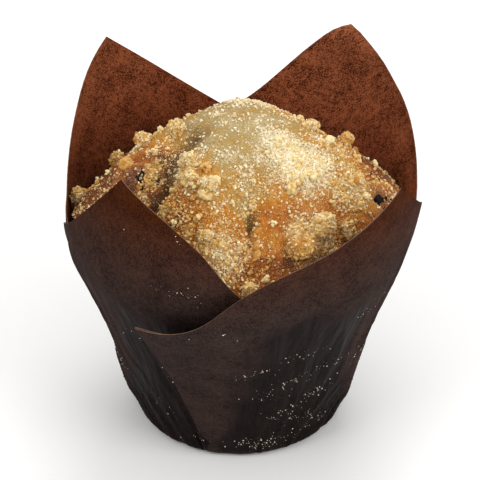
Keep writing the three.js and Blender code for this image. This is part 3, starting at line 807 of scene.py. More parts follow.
# Cracks: a path, half width, depth
CRACKS = [
    ([(-11.5, 0), (-13.6, -5.5), (-16.2, -11.3), (-22, -20)], 3.6, 2.5),
    ([(-15.4, -7.5), (-16.6, -11.3), (-19.5, -16.5), (-22, -20)], 3.2, 1.5),
    ([(-17, -13), (-19.5, -16.5), (-22, -20)], 2.6, 1.6),
    ([(7.1, -12.7), (6.6, -17.1), (4.4, -22.4), (3, -26)], 2.8, 1.4),
    ([(3.2, -25.2), (2.8, -29)], 2.3, 2.0),
    ([(28, 13), (30.5, 5.5), (32.9, -2.8), (33.3, -6)], 2.0, 1.3),
    ([(-26, 24), (-12, 32), (3, 29), (16, 33)], 2.6, 1.8),
]
print("swellings:", len(LOBES), "cracks:", len(CRACKS))

# %% [markdown]
# ### What the oven and the topping did
#
# How brown, how moist and how crumbly each place is goes along with the mesh as numbers on its
# points, and so does shade painted into the crust: some browner patches and the dark in the
# cracks are painted shade. The relief, the colour and the scattering all read those, so a
# crumbly place is knobbly, pale and strewn with crumbs at once. The lists say where: each patch
# is a soft round spot, and they add up.

# %% Patches: x, y, radius, strength
# Browner crust: partly the oven's browning, partly painted shade where the crumb lies in shadow, on
# the left lump and low at the front
BROWNER_AND_SHADED = [
    (-36, 9, 6, 0.65), (-41, 17, 4, 0.4), (-33, 0, 5, 0.3), (-24, -3, 5, 0.35),
    (-19.5, -7, 4, 0.35), (-25, -11, 3.5, 0.3), (-27, -10, 4, 0.15),
    (-18.5, -5.5, 1.5, 0.4), (-19, -13.5, 2.5, 0.3), (-22, -15, 2.5, 0.35),
    (-21.7, -17.5, 2.2, 0.3), (-15.3, -19, 2.5, 0.18), (-12.5, -22.5, 4, 0.2),
    (-15.5, -25.5, 3, 0.22), (-9, -27, 4, 0.1), (-4, -27, 4.5, 0.06), (1.5, -36, 4, 0.35),
    (6, -24.5, 2.5, 0.15), (8, -35, 3, 0.3), (12.5, -33, 2.2, 0.4), (12.5, -24.5, 6, 0.16),
    (18, -29, 3, 0.25), (19.7, -27.6, 2.5, 0.2), (26, -23.6, 2.5, 0.3), (21, -19, 4.5, 0.12),
    (33, 12, 5, 0.45), (36.5, 3, 3.5, 0.25), (33, 2.5, 2.2, 0.3), (0.5, 7.4, 1.5, 0.35),
    (-20, 26, 7, 0.25), (20, 28, 7, 0.25), (0, 34, 6, 0.3),
]
PALER = [
    (0, 1, 8, 0.22), (-3.5, 8, 5, 0.12), (-1, -11, 5.5, 0.2), (1, -19.5, 3.6, 0.26),
    (1.5, -24, 2.2, 0.28), (-8, -4, 4, 0.14), (6, 6.5, 3.5, 0.24), (9, -30.6, 2.2, 0.2),
    (12.5, -7, 5.5, 0.3), (29.5, -4.5, 2.6, 0.35), (31, -9, 2.6, 0.35), (27, -12, 4, 0.2),
    (8.5, -22, 3, 0.15), (-12, 7, 5, 0.2), (9, 7, 5, 0.18), (-22, -8, 3.5, 0.2),
    (-3, -31, 3, 0.12), (-4, 20, 8, 0.18),
]
CRUMBLY = [
    (10, -3, 3, 0.8), (13, -8, 5, 1.0), (15, -14, 4, 1.0), (18.7, -6.8, 3.5, 0.9),
    (21.2, 1.7, 2.5, 0.7), (24.8, -6.5, 3, 0.6), (29.3, -5, 2.2, 0.9), (29.3, -10.3, 2, 0.7),
    (23.5, -11.8, 3.5, 0.5), (27, -14.5, 2.3, 0.6), (31, -12, 1.8, 0.6), (-7, -31.4, 2.5, 0.7),
    (-3.4, -32.7, 2.8, 0.65), (1.5, -33.8, 2.5, 0.5), (5.6, -34, 2.5, 0.3),
    (-16.3, -22.7, 2.5, 0.55), (-18.5, -20, 1.8, 0.7), (-13, -27, 2.5, 0.55),
    (-10.4, -29.2, 2.3, 0.45), (-12.9, -9.6, 2.6, 1.0), (-13.8, -13.5, 2, 0.6),
    (-9.6, -7.5, 2.5, 0.7), (-7.8, -20.5, 3, 0.8), (-22, -1, 2.3, 0.3), (-18.3, 1.2, 2.3, 0.5),
    (-16.7, 11, 2.3, 0.6), (-20, -7.7, 1.5, 0.6), (-22.3, -6.8, 2.2, 0.75),
    (-21.3, -11, 1.8, 0.8), (-24.3, -13, 2, 0.7), (-21.8, -15, 1.8, 0.5), (-27.5, 14, 2, 0.4),
    (14.3, -26.3, 2.2, 0.8), (16, -28.2, 3, 0.6), (22.2, -24.7, 3, 0.6), (27, -19.4, 2.3, 0.7),
    (11.2, -26.6, 2.3, 0.4), (2, -26.5, 1.8, 0.5), (2.7, -31, 1.5, 0.7), (4, -17.5, 2, 0.4),
    (36.3, 0.7, 2.3, 0.5), (-40, 4, 1.5, 0.5), (20, 12, 2.3, 0.7), (26.5, 13, 2.3, 0.8),
    (34.5, -1.5, 2.2, 0.8), (-20, 24, 6, 0.6), (0, 29, 7, 0.5), (22, 25, 6, 0.5),
    (9, 17, 4, 0.5),
]
# Where the crumble fell as powder
POWDERY = [
    (10, -3, 3.2, 0.8), (13, -8, 5.0, 1.3), (15.5, -13.5, 4, 1.2), (18.7, -6.8, 3.7, 1.0),
    (6.5, -4, 2.5, 0.5), (-12.5, -7.5, 2.5, 0.6), (-4, -33, 3.5, 0.5), (17, -27.5, 4, 0.5),
    (3, 24, 6, 0.5),
]
# Where coarse grains lie apart on brown crust
SPECKLED = [
    (-17.5, -17, 3.5, 0.7), (-15, -21.5, 3, 0.55), (-12, -25.7, 3.2, 0.6), (-9.5, -29.3, 3, 0.8),
    (-6, -32, 3, 0.8), (-3, -34.5, 3, 0.8), (4, -35, 4, 0.6), (-2.7, -29, 2.5, 0.6),
    (26, 4, 2.5, 0.6), (27.5, -2, 2.5, 0.6), (33, -1, 2, 0.8), (25, -11.5, 3, 0.5),
    (2, -24, 2.5, 0.6), (0.5, -20, 3, 0.45), (4, -17, 2.5, 0.35), (-8, -24, 3, 0.4),
    (-38, 6, 4, 0.3),
]
# Where the skin tore without opening
# Painted shade in and beside the left groove, on the left lump and by the middle crack, laid on as
# dark moist crumb
SHADE_PATCHES = [
    (-10.5, 1.5, 3.8, 0.5), (-14.5, -5, 3.2, 0.4), (-17.5, -10, 3.2, 0.6), (-19, -6, 3, 0.4),
    (5, -15, 2.5, 0.15),
]
# Crust that stayed clear of crumble and sugar
BARE = [(-36, 6, 6.5, 0.75), (-29, 1, 6, 0.45), (-26, -2, 3, 0.3)]
# Clumps that lie on bare crust, without smaller crumbs round them
BARE_ROUND = ("crumb_left_rim", "crumb_left_back", "crumb_left_flat", "crumb_right_peak")
# Batter closed over the berries, all but a gap: its x, y and radius
BERRIES = {"berry_left": (-24.0, -10.6, 1.35), "berry_right": (34.7, -5.8, 1.15)}
patch_lists = (BROWNER_AND_SHADED, PALER, CRUMBLY, POWDERY, SPECKLED, SHADE_PATCHES, BARE)
print("patches on the crust:", sum(map(len, patch_lists)))


# %% Height of the baked top
def wavering(x, y, *layers):
    """Noise of several sizes added up. A layer is its height, its size and its seed."""
    return sum(
        height * smooth_noise(x / size, y / size, seed=seed) for height, size, seed in layers)


def patches(x, y, spots):
    """Sum of soft round patches, each with its place, its radius and its strength."""
    return sum(
        strength * np.exp(-((x - px) ** 2 + (y - py) ** 2) / radius ** 2)
        for px, py, radius, strength in spots)


def crack_depth(x, y):
    """How far each place has sunk into a crack, in millimetres. A crack wanders and narrows."""
    total = 0.0
    ragged = 0.9 + wavering(x, y, (0.35, 2.6, 43), (0.2, 1.1, 44))
    x = x + wavering(x, y, (1.2, 4.5, 41), (0.5, 1.6, 45))
    y = y + wavering(x, y, (1.2, 4.5, 42), (0.5, 1.6, 46))
    for path, width, depth in CRACKS:
        nearest = np.full(np.shape(x), np.inf)
        for (ax, ay), (bx, by) in zip(path, path[1:]):
            length = (bx - ax) ** 2 + (by - ay) ** 2
            t = np.clip(((x - ax) * (bx - ax) + (y - ay) * (by - ay)) / length, 0, 1)
            nearest = np.minimum(nearest, np.hypot(x - mix(ax, bx, t), y - mix(ay, by, t)))
        total = total + depth * np.exp(-(nearest / (width * ragged)) ** 2)
    return total


def dome_height(x, y):
    """The smooth dome with its swellings and cracks."""
    dome = APEX - DOME_DROP * (np.hypot(x, y) / DOME_RADIUS) ** DOME_POWER
    return dome + patches(x, y, LOBES) - crack_depth(x, y)


print("height at the middle, mm:", round(float(dome_height(0.0, 0.0)), 1))


# %% The muffin's mesh
line = np.linspace(-1, 1, GRID + 1)
square_x, square_y = np.meshgrid(line, line, indexing="ij")
wide = np.abs(square_x) > np.abs(square_y)
reach = np.where(wide, square_x, square_y)
tilt = np.where(wide, square_y, square_x) / np.where(reach == 0, 1, reach) * np.pi / 4
disc_angle = np.where(wide, tilt, np.pi / 2 - tilt)
disc_x, disc_y = reach * np.cos(disc_angle), reach * np.sin(disc_angle)
azimuth = np.degrees(np.arctan2(disc_y, disc_x)) % 360


def rim_slant(azimuth):
    """Slant height of the crumb's rim."""
    middle, width, drop = RIM_DIP
    return RIM_SLANT - drop * np.exp(-((azimuth - middle) / width) ** 2)


def ring_at(azimuth, slant):
    """Radius and height of the muffin's side."""
    radius, height = cup_at(azimuth, slant)
    return np.minimum(radius - CAKE_INSET, RIM_LIMIT), height + CAD_PAPER + CLEARANCE


share = np.hypot(disc_x, disc_y)
rim, _ = ring_at(azimuth, rim_slant(azimuth))
radius = rim * np.sin(share * DOME_SPREAD) / math.sin(DOME_SPREAD)
dome_x = radius * np.cos(np.radians(azimuth))
dome_y = radius * np.sin(np.radians(azimuth))
dome = np.stack((dome_x, dome_y, dome_height(dome_x, dome_y)), -1)

grid = np.arange((GRID + 1) ** 2).reshape(GRID + 1, GRID + 1)
top_faces = np.stack((grid[:-1, :-1], grid[1:, :-1], grid[1:, 1:], grid[:-1, 1:]), -1)
border = np.concatenate((grid[:-1, 0], grid[-1, :-1], grid[:0:-1, -1], grid[0, :0:-1]))
border_azimuth = azimuth.ravel()[border]
angle = np.radians(border_azimuth)
full = rim_slant(border_azimuth) / RIM_SLANT
wall_rings = []
for slant in CAKE_WALL:
    ring_slant = slant * full if slant > 0 else slant + 0 * full
    ring_radius, ring_height = ring_at(border_azimuth, ring_slant)
    wall_rings.append(np.stack(
        (ring_radius * np.cos(angle), ring_radius * np.sin(angle), ring_height), -1))
wall_points = np.concatenate(wall_rings)
foot_centre = np.array([[0, 0, wall_points[-1, 2]]])
cake_points = np.concatenate((dome.reshape(-1, 3), wall_points, foot_centre))
rings = [border] + [
    grid.size + row * len(border) + np.arange(len(border)) for row in range(len(CAKE_WALL))]
wall_faces = [
    np.stack((high, low, np.roll(low, -1), np.roll(high, -1)), -1)
    for high, low in zip(rings, rings[1:])]
last = rings[-1]
foot_faces = np.stack((np.roll(last, -1), last, np.full(len(last), len(cake_points) - 1)), -1)
cake_faces = [
    face for group in (top_faces.reshape(-1, 4), *wall_faces, foot_faces)
    for face in group.tolist()]
print("muffin grid:", top_faces[..., 0].size, "faces on top,", len(border), "round the rim")

# %% [markdown]
# ### What each place of the muffin went through
#
# The rim and the sides facing the oven brown first, and some browner patches are painted shade.
# Opened cracks are moist, and they and a few patches by the groove are painted dark as shade.
# Crumble gathers in patches, sugar in clouds and on crumble, and both keep off the bare crust. In
# one corner the crumble fell as powder, and on the brown front coarse grains lie apart, so these
# two have values of their own. Round a berry its juice stained the crumb, and the batter closed
# over it, all but a ragged gap.

# %% What each place went through
def packed_place(name):
    """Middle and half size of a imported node, in millimetres."""
    low, high = np.array(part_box(name)) / MM
    return (low + high) / 2, (high - low) / 2


EVEN_BROWN = 0.34
RIM_BROWN = 0.2
FRONT_BROWN = 0.07
SIDE_BROWN = 0.45      # where the rim lay open to the oven, on the left and right
RIGHT_SHARE = 0.55     # of that on the right
SKIN = 0.5             # thickness of the crumb that closed over a berry
GAP_DEPTH = 0.7
STAIN_RADIUS = 3.0

x, y = cake_points[:, 0], cake_points[:, 1]
on_top = np.arange(len(cake_points)) < grid.size
from_centre = np.hypot(x, y)
open_crack = ease(crack_depth(x, y), 0.9, 3.8) * on_top
# Moist crumb in opened cracks, painted dark there and in the shade patches as painted shade
moist = np.clip(open_crack + patches(x, y, SHADE_PATCHES), 0, 1) * on_top
stain = np.zeros(len(cake_points))
for name, (gap_x, gap_y, gap_radius) in BERRIES.items():
    centre, half = packed_place(name)
    from_gap = np.hypot(x - gap_x, y - gap_y)
    stain = np.maximum(stain, np.exp(-(from_gap / STAIN_RADIUS) ** 2))
    ragged = from_gap + wavering(x, y, (1.5, 0.7, 57))
    closed = ease(ragged, gap_radius - 0.3, gap_radius + 0.5)
    away = ((x - centre[0]) / half[0]) ** 2 + ((y - centre[1]) / half[1]) ** 2
    berry_top = centre[2] + half[2] * np.sqrt(np.clip(1 - away, 0, 1))
    covered = np.maximum(cake_points[:, 2], berry_top + SKIN)
    over_berry = mix(berry_top - GAP_DEPTH, covered, closed)
    cake_points[:, 2] = np.where((away < 1) & on_top, over_berry, cake_points[:, 2])

sideways = (x / np.maximum(from_centre, 1)) ** 4 * np.where(x < 0, 1, RIGHT_SHARE)
browning = EVEN_BROWN + RIM_BROWN * ease(from_centre, 12, 34) + FRONT_BROWN * ease(-y, 8, 20)
browning += SIDE_BROWN * sideways * ease(from_centre, 27, 39)
# The browner patches add painted shade as well as browning
browning += patches(x, y, BROWNER_AND_SHADED) - patches(x, y, PALER)
browning += wavering(x, y, (0.1, 4, 51), (0.06, 1.2, 52))
crumble = patches(x, y, CRUMBLY) * (0.8 + wavering(x, y, (0.55, 2.2, 53)))
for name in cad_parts:
    if name.startswith("crumb_") and name not in BARE_ROUND:
        centre, half = packed_place(name)
        away = np.hypot(x - centre[0], y - centre[1])
        crumble += 0.4 * (1 - ease(away / half[0], 1.0, 1.6))
bare = np.clip(patches(x, y, BARE), 0, 0.9)
crumble = np.clip(crumble, 0.03, 1) * (1 - 0.4 * open_crack) * (1 - bare) * on_top
cloudy = (0.5 + wavering(x, y, (0.5, 5, 54))) * (1 + wavering(x, y, (1, 1.6, 55)))
sugar = 0.05 + 0.45 * cloudy ** 1.5 + 0.6 * crumble ** 2 - 0.25 * open_crack ** 2
sugar -= 0.1 * ease(browning, 0.45, 0.9) + 0.15 * ease(y, 0, 14)
sugar = np.clip(sugar, 0.04, 1) * (1 - bare) * on_top
powder = patches(x, y, POWDERY) * (1 + wavering(x, y, (0.6, 1.4, 58)))
relief = 1 - ease(share.ravel(), 0.97, 1.0)
history = {
    "browning": np.clip(browning, 0, 1), "moist": moist, "stain": stain,
    "crumble": crumble, "sugar": sugar, "film": sugar * (1 - 0.8 * ease(browning, 0.42, 0.7)),
    "speckled": np.clip(patches(x, y, SPECKLED), 0, 1) * on_top,
    "powder": np.clip(powder, 0, 1) * on_top,
    "relief": np.pad(relief, (0, len(cake_points) - grid.size)),
}
print("mean browning:", round(float(browning[on_top].mean()), 2))

# %% [markdown]
# ### Relief by Geometry Nodes
#
# One tree raises the relief on the muffin and on the clumps of crumble alike. Wide noise makes
# it lumpy, a smooth Voronoi pattern packs it with pebbles as large as crumbs, and a finer one
# gives the grain. It is real geometry, because bump alone would leave the outline smooth. All
# sizes are inputs in metres, and the point attribute "relief" says where it may act.


# %% Tools for Geometry Nodes
def new_tree(name, sizes):
    """A Geometry Nodes tree with its Geometry and Material sockets and an input for each size."""
    tree = bpy.data.node_groups.new(name, "GeometryNodeTree")
    tree.interface.new_socket("Geometry", in_out="INPUT", socket_type="NodeSocketGeometry")
    for label, value in sizes.items():
        kind = "NodeSocketInt" if isinstance(value, int) else "NodeSocketFloat"
        socket = tree.interface.new_socket(label, in_out="INPUT", socket_type=kind)
        socket.default_value = value
    tree.interface.new_socket("Material", in_out="INPUT", socket_type="NodeSocketMaterial")
    tree.interface.new_socket("Geometry", in_out="OUTPUT", socket_type="NodeSocketGeometry")
    return tree, add(tree, "NodeGroupInput").node.outputs


def finish_tree(tree, geometry, material):
    """Every tree ends in real geometry with its material."""
    real = add(tree, "GeometryNodeRealizeInstances", [geometry])
    finished = add(tree, "GeometryNodeSetMaterial", {"Geometry": real, "Material": material})
    add(tree, "NodeGroupOutput", [finished])


def run_tree(piece, tree, **values):
    """The plain mesh that a tree makes of a piece. Values are given by their input's name."""
    modifier = piece.modifiers.new(tree.name, "NODES")
    modifier.node_group = tree
    for item in tree.interface.items_tree:
        if item.in_out == "INPUT" and item.name.replace(" ", "_") in values:
            modifier[item.identifier] = values[item.name.replace(" ", "_")]
    graph = bpy.context.evaluated_depsgraph_get()
    mesh = bpy.data.meshes.new_from_object(piece.evaluated_get(graph), depsgraph=graph)
    piece.modifiers.remove(modifier)
    return mesh


def finished_piece(name, mesh, slot, *nodes):
    """A piece of the scene from a finished mesh."""
    mesh.name = name
    piece = bpy.data.objects.new(name, mesh)
    bpy.context.scene.collection.objects.link(piece)
    return declare(piece, slot, *nodes)


print("node trees so far:", len(bpy.data.node_groups))

# %% The relief tree
PEBBLE_FLOOR = 0.25    # how far pebbles stand out where nothing is crumbly

relief_tree, given = new_tree("baked_relief", {
    "Swell": 0.5 * MM, "Swell Size": 6.0 * MM,
    "Pebble": 0.6 * MM, "Pebble Size": 2.2 * MM,
    "Grain": 0.25 * MM, "Grain Size": 0.8 * MM,
})
place = add(relief_tree, "GeometryNodeInputPosition")
total = 0.0
for label, kind, settings in (
    ("Swell", "ShaderNodeTexNoise", {}),
    ("Pebble", "ShaderNodeTexVoronoi", {"feature": "SMOOTH_F1"}),
    ("Grain", "ShaderNodeTexVoronoi", {"feature": "F1"}),
):
    scale = add(relief_tree, "ShaderNodeMath", [1.0, given[label + " Size"]], operation="DIVIDE")
    pattern = add(relief_tree, kind, {"Vector": place, "Scale": scale}, **settings)
    centred = add(relief_tree, "ShaderNodeMath", [0.5, pattern], operation="SUBTRACT")
    height = add(relief_tree, "ShaderNodeMath", [centred, given[label]], operation="MULTIPLY")
    if label == "Pebble":
        crumbly = add(relief_tree, "GeometryNodeInputNamedAttribute", {"Name": "crumble"})
        crumbly = add(relief_tree, "ShaderNodeMath", [crumbly, PEBBLE_FLOOR], operation="ADD")
        height = add(relief_tree, "ShaderNodeMath", [height, crumbly], operation="MULTIPLY")
    total = add(relief_tree, "ShaderNodeMath", [total, height], operation="ADD")
allowed = add(relief_tree, "GeometryNodeInputNamedAttribute", {"Name": "relief"})
total = add(relief_tree, "ShaderNodeMath", [total, allowed], operation="MULTIPLY")
normal = add(relief_tree, "GeometryNodeInputNormal")
offset = add(relief_tree, "ShaderNodeVectorMath", {0: normal, "Scale": total}, operation="SCALE")
raised = add(relief_tree, "GeometryNodeSetPosition", {
    "Geometry": given["Geometry"], "Offset": offset})
finish_tree(relief_tree, raised, given["Material"])


def raise_relief(draft, **values):
    """Runs the relief tree on a draft piece, deletes the draft and returns the plain mesh."""
    mesh = run_tree(draft, relief_tree, Material=draft.data.materials[0], **values)
    old = draft.data
    bpy.data.objects.remove(draft)
    bpy.data.meshes.remove(old)
    return mesh


print("relief tree:", len(relief_tree.nodes), "nodes")

# %% [markdown]
# ### Baked crust
#
# The crust is sugar and egg protein browned by the oven: khaki where it stayed pale, golden,
# then red-brown at the rim, and where the crumb lies in shadow it is painted browner as shade.
# Baked goods look wrong in a render when that ramp is too even or too red, so each step's colour
# is set one by one. Over it lie five covers. Under the crumble there is butter, in the cracks the
# crumb is moist and shinier and painted darker as shade, and round a berry juice greys it. Powder
# veils it, and melted sugar makes a broken pale film, denser where powder fell.

# %% Crust material
PORE = 0.55 * MM
SUGAR_FILM = 0.36 * MM    # real crystals melt finer, and are drawn this coarse to show
MOTTLE = 0.26             # how far the pores' own browning strays
TOASTING = [
    (0.0, "#bfa775"), (0.18, "#ab9158"), (0.4, "#c08a2a"), (0.6, "#c07518"),
    (0.76, "#aa5f16"), (0.9, "#8a4a15"), (1.0, "#62300f"),
]
FILM_EDGE = 0.63          # noise above this has a film of sugar, and less is needed
FILM_SHARES = [("film", 0.2), ("powder", 0.26)]    # where there is much sugar or powder
CRUST_LAYERS = [
    # what is painted on the crust, how much of it covers, its colour
    # The moist layer's dark colour is painted shade in the cracks and by the groove
    ("crumble", 0.8, "#e3c583"), ("moist", 0.85, "#553a17"), ("stain", 0.35, "#55585c"),
    ("powder", 0.55, "#dccb9a"), ("film", 0.8, "#f0e4c6"),
]

# A baked crust is half matt, with fine pores, and shinier where moist crumb shows
crust, crust_tree = new_material("baked_muffin_crust")
surface = add(crust_tree, "ShaderNodeTexCoord", out="Object")
known = {
    name: add(crust_tree, "ShaderNodeAttribute", attribute_name=name, out="Fac")
    for name in ("browning", *(name for name, _, _ in CRUST_LAYERS))}
pores, melted = [
    add(crust_tree, "ShaderNodeTexNoise", {
        "Vector": surface, "Scale": 1 / size, "Detail": detail, "Roughness": rough})
    for size, detail, rough in ((PORE, 4.0, 0.75), (SUGAR_FILM, 2.0, 0.6))]
mottled = add(crust_tree, "ShaderNodeMapRange", [pores, 0.3, 0.7, -MOTTLE, MOTTLE])
toasted = add(crust_tree, "ShaderNodeMath", [known["browning"], mottled], operation="ADD")
layers = add(crust_tree, "ShaderNodeValToRGB", [toasted], TOASTING)
film_edge = FILM_EDGE
for name, share in FILM_SHARES:
    lowered = add(crust_tree, "ShaderNodeMath", [known[name], share], operation="MULTIPLY")
    film_edge = add(crust_tree, "ShaderNodeMath", [film_edge, lowered], operation="SUBTRACT")
film_full = add(crust_tree, "ShaderNodeMath", [film_edge, 0.09], operation="ADD")
known["film"] = add(crust_tree, "ShaderNodeMapRange", [melted, film_edge, film_full])
known["crumble"] = add(crust_tree, "ShaderNodeMapRange", [known["crumble"], 0.4, 1.0])
for name, most, colour in CRUST_LAYERS:
    cover = add(crust_tree, "ShaderNodeMath", [known[name], most], operation="MULTIPLY")
    layers = add(
        crust_tree, "ShaderNodeMix", {0: cover, MIX_A: layers, MIX_B: colour},
        data_type="RGBA", out=MIX_RESULT)
finish_material(crust_tree, {
    "Base Color": layers, "Specular IOR Level": 0.3,
    "Roughness": add(crust_tree, "ShaderNodeMapRange", [known["moist"], 0, 1, 0.72, 0.5]),
    "Normal": add(crust_tree, "ShaderNodeBump", {
        "Height": pores, "Strength": 1.0, "Distance": 0.4 * MM})})
print("crust material made")

# %% The finished muffin body
cake_draft = mesh_piece("cake_draft", cake_points, cake_faces, [crust], sharp=70)
for name, values in history.items():
    paint(cake_draft, name, values)
cake_mesh = raise_relief(
    cake_draft, Swell=1.0 * MM, Swell_Size=3.6 * MM, Pebble=0.8 * MM, Grain=0.45 * MM,
    Grain_Size=0.9 * MM)
cake = finished_piece("muffin_body", cake_mesh, "crumb", "cake")
print("muffin triangles:", sum(len(face) - 2 for face in cake_faces))

# %% [markdown]
# ## Butter crumble
#
# Crumble is flour, sugar and cold butter rubbed together until it clumps. A clump is a bunch of
# smaller balls pressed into one, knobbly and porous, and it browns only at its tips. One ball
# with noise on it looks like a pebble. So each clump is the outline of a bunch of balls, seen
# from its middle: along every direction it reaches as far as the farthest ball does. The
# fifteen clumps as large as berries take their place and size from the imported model.

# %% Crumble material
CRUMBLE_GRAIN = 0.45 * MM
LIGHT_REACH = 1.2 * MM      # how far light wanders in fatty crumb before it comes out again
BUTTER = [(0.0, "#a3631a"), (0.3, "#c8903f"), (0.62, "#e2c27e"), (1.0, "#f2e3b4")]

# Flour bound by butter is matt and grainy, and glows softly where light wanders in the fat
crumble_material, crumble_tree = new_material("butter_crumble")
inside_clump = add(crumble_tree, "ShaderNodeTexCoord", out="Object")
tone = add(crumble_tree, "ShaderNodeAttribute", attribute_name="tone", out="Fac")
specks = add(crumble_tree, "ShaderNodeTexNoise", {
    "Vector": inside_clump, "Scale": 1 / CRUMBLE_GRAIN, "Detail": 3.0, "Roughness": 0.6})
strayed = add(crumble_tree, "ShaderNodeMapRange", [specks, 0.3, 0.7, -0.16, 0.16])
buttery = add(crumble_tree, "ShaderNodeMath", [tone, strayed], operation="ADD")
finish_material(crumble_tree, {
    "Base Color": add(crumble_tree, "ShaderNodeValToRGB", [buttery], BUTTER),
    "Normal": add(crumble_tree, "ShaderNodeBump", {
        "Height": specks, "Strength": 0.6, "Distance": 0.12 * MM}),
    "Roughness": 0.75, "Specular IOR Level": 0.3, "Subsurface Weight": 0.1,
    "Subsurface Radius": (1.0, 0.6, 0.25), "Subsurface Scale": LIGHT_REACH})
print("crumble material made")


# %% Clumps
def unit_ball(subdivisions):
    """Points and faces of a ball of even triangles."""
    ball = bmesh.new()
    bmesh.ops.create_icosphere(ball, subdivisions=subdivisions, radius=1)
    points = np.array([vertex.co[:] for vertex in ball.verts])
    faces = [[vertex.index for vertex in face.verts] for face in ball.faces]
    ball.free()
    return points, faces


def bunch_reach(directions, balls, spread, seed, core=0.55):
    """How far a bunch of balls round a core reaches from its middle in each direction."""
    draw = np.random.default_rng(seed)
    centres = draw.normal(size=(balls, 3))
    centres *= spread / np.linalg.norm(centres, axis=1)[:, None]
    sizes = draw.uniform(0.36, 0.56, balls)
    ahead = directions @ centres.T
    inside = sizes ** 2 - spread ** 2 + ahead ** 2
    reach = np.where(inside > 0, ahead + np.sqrt(np.maximum(inside, 0)), 0)
    return np.log(np.sum(np.exp(14 * np.maximum(reach, core)), axis=1)) / 14


print("a ball in steps 5 and 6 has", 20 * 4 ** 4, "and", 20 * 4 ** 5, "triangles")

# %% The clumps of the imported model
CLUMP_BALLS = 9
CLUMP_SPREAD = 0.45
CLUMP_SINK = 0.3    # share of its height that a clump is pressed into the crust
CLUMP_SPARE = 1.08  # a bunch of balls fills its box less than a plain ball does
CLUMPS = {
    # name of the piece: tone, how rough and dusted it is, steps in which its ball is divided
    "crumb_left_rim": (0.62, 1, 5), "crumb_left_back": (0.34, 0.5, 5),
    "crumb_left_top": (0.5, 0.8, 5), "crumb_left_flat": (0.34, 0.15, 5),
    "crumb_left_high": (0.62, 1, 5), "crumb_cluster_top": (0.8, 1, 5),
    "crumb_cluster_left": (0.7, 0.8, 5), "crumb_cluster_right": (0.78, 0.8, 5),
    "crumb_front_big": (0.62, 0.6, 6), "crumb_front_low": (0.28, 0.5, 6),
    "crumb_front_small": (0.58, 1, 5), "crumb_right_peak": (0.36, 0.7, 5),
    "crumb_right_ridge": (0.75, 0.8, 5), "crumb_low_left": (0.5, 0.9, 5),
    "crumb_low_middle": (0.48, 0.8, 5),
}
clump_pieces = []
for seed, (name, (paleness, dusted, subdivisions)) in enumerate(CLUMPS.items()):
    centre, half = packed_place(name)
    half = half * (CLUMP_SPARE, CLUMP_SPARE, 1 + CLUMP_SINK / 2)
    centre = centre - (0, 0, half[2] * CLUMP_SINK / 2)
    directions, ball_faces = unit_ball(subdivisions)
    reach = bunch_reach(directions, CLUMP_BALLS, CLUMP_SPREAD, seed + 70)
    reach /= reach.max()
    points = centre + directions * reach[:, None] * half
    knobs = smooth_noise(*(points / 1.5).T, seed=seed)
    fine = smooth_noise(*(points / 0.7).T, seed=seed + 20)
    points += directions * (0.3 * knobs + 0.16 * fine)[:, None]
    draft = mesh_piece("clump_draft", points, ball_faces, [crumble_material], sharp=80)
    # Tone falls in the hollows between the balls and in the dents of the noise: a painted shade
    hollow_shade = (reach - np.percentile(reach, 60)) / 0.3
    for label, value in (
        ("tone", paleness + 0.22 * np.clip(hollow_shade, -1, 0.5) + 0.12 * knobs + 0.06 * fine),
        ("crumble", dusted), ("browning", 1 - paleness), ("relief", 0.3 + 0.6 * dusted),
    ):
        paint(draft, label, np.broadcast_to(value, len(points)))
    clump_mesh = raise_relief(
        draft, Swell=0.4 * MM, Pebble=0.5 * MM, Pebble_Size=1.0 * MM, Grain=0.5 * MM,
        Grain_Size=0.5 * MM)
    clump_pieces.append(finished_piece(name + "_baked", clump_mesh, "crumble", name))
print("clumps:", len(clump_pieces))

# %% [markdown]
# ## Two berries
#
# A berry in a muffin shrinks as it bakes, so its skin wrinkles, and the batter closes over it
# until only a dark patch shows. The skin keeps a faint waxy bloom, which is a thin grey veil
# over near black. The wrinkles are ridges of noise: zero crossings pushed in.

# %% Berries
WRINKLE = 1.6       # millimetres between wrinkles
WRINKLE_DEPTH = 0.32
BLOOM = 1.2 * MM

# The skin is dark and waxy: a soft sheen, and no bright point of light
berry_skin, berry_tree = new_material("baked_berry_skin")
on_berry = add(berry_tree, "ShaderNodeTexCoord", out="Object")
bloom = add(berry_tree, "ShaderNodeTexNoise", {
    "Vector": on_berry, "Scale": 1 / BLOOM, "Detail": 3.0, "Roughness": 0.6})
finish_material(berry_tree, {
    "Base Color": add(berry_tree, "ShaderNodeValToRGB", [bloom], [
        (0.35, "#0d0a0a"), (0.75, "#241d1b")]),
    "Roughness": 0.45, "Specular IOR Level": 0.12})
for name in BERRIES:
    centre, half = packed_place(name)
    directions, ball_faces = unit_ball(5)
    ridges = 1 - 2 * np.abs(smooth_noise(*(directions * half / WRINKLE + 7).T, seed=61))
    points = centre + directions * (half - WRINKLE_DEPTH * ridges[:, None])
    berry = mesh_piece(name + "_baked", points, ball_faces, [berry_skin])
    declare(berry, "berry", name)
print("berries:", len(BERRIES))

# %% [markdown]
# ## Loose crumbs, grains and sugar
#
# Between the clumps lie thousands of smaller crumbs. Placing them by hand is hopeless, and
# plain random points would overlap. Geometry Nodes scatters them with a least distance, thicker
# where the bed's attribute for that kind is high. Every grain gets its own turn, size and
# squash. Grains on brown crust are golden, and grains in the powder are all alike. After they
# are made real, noise at their own place bends each one differently.

# %% The scatter tree
GOLDEN = 0.55         # how much of its tone a grain loses on the brownest crust
POWDER_TONE = 0.72
SMALL_MANY = 3.5      # power that makes small grains common and large ones rare


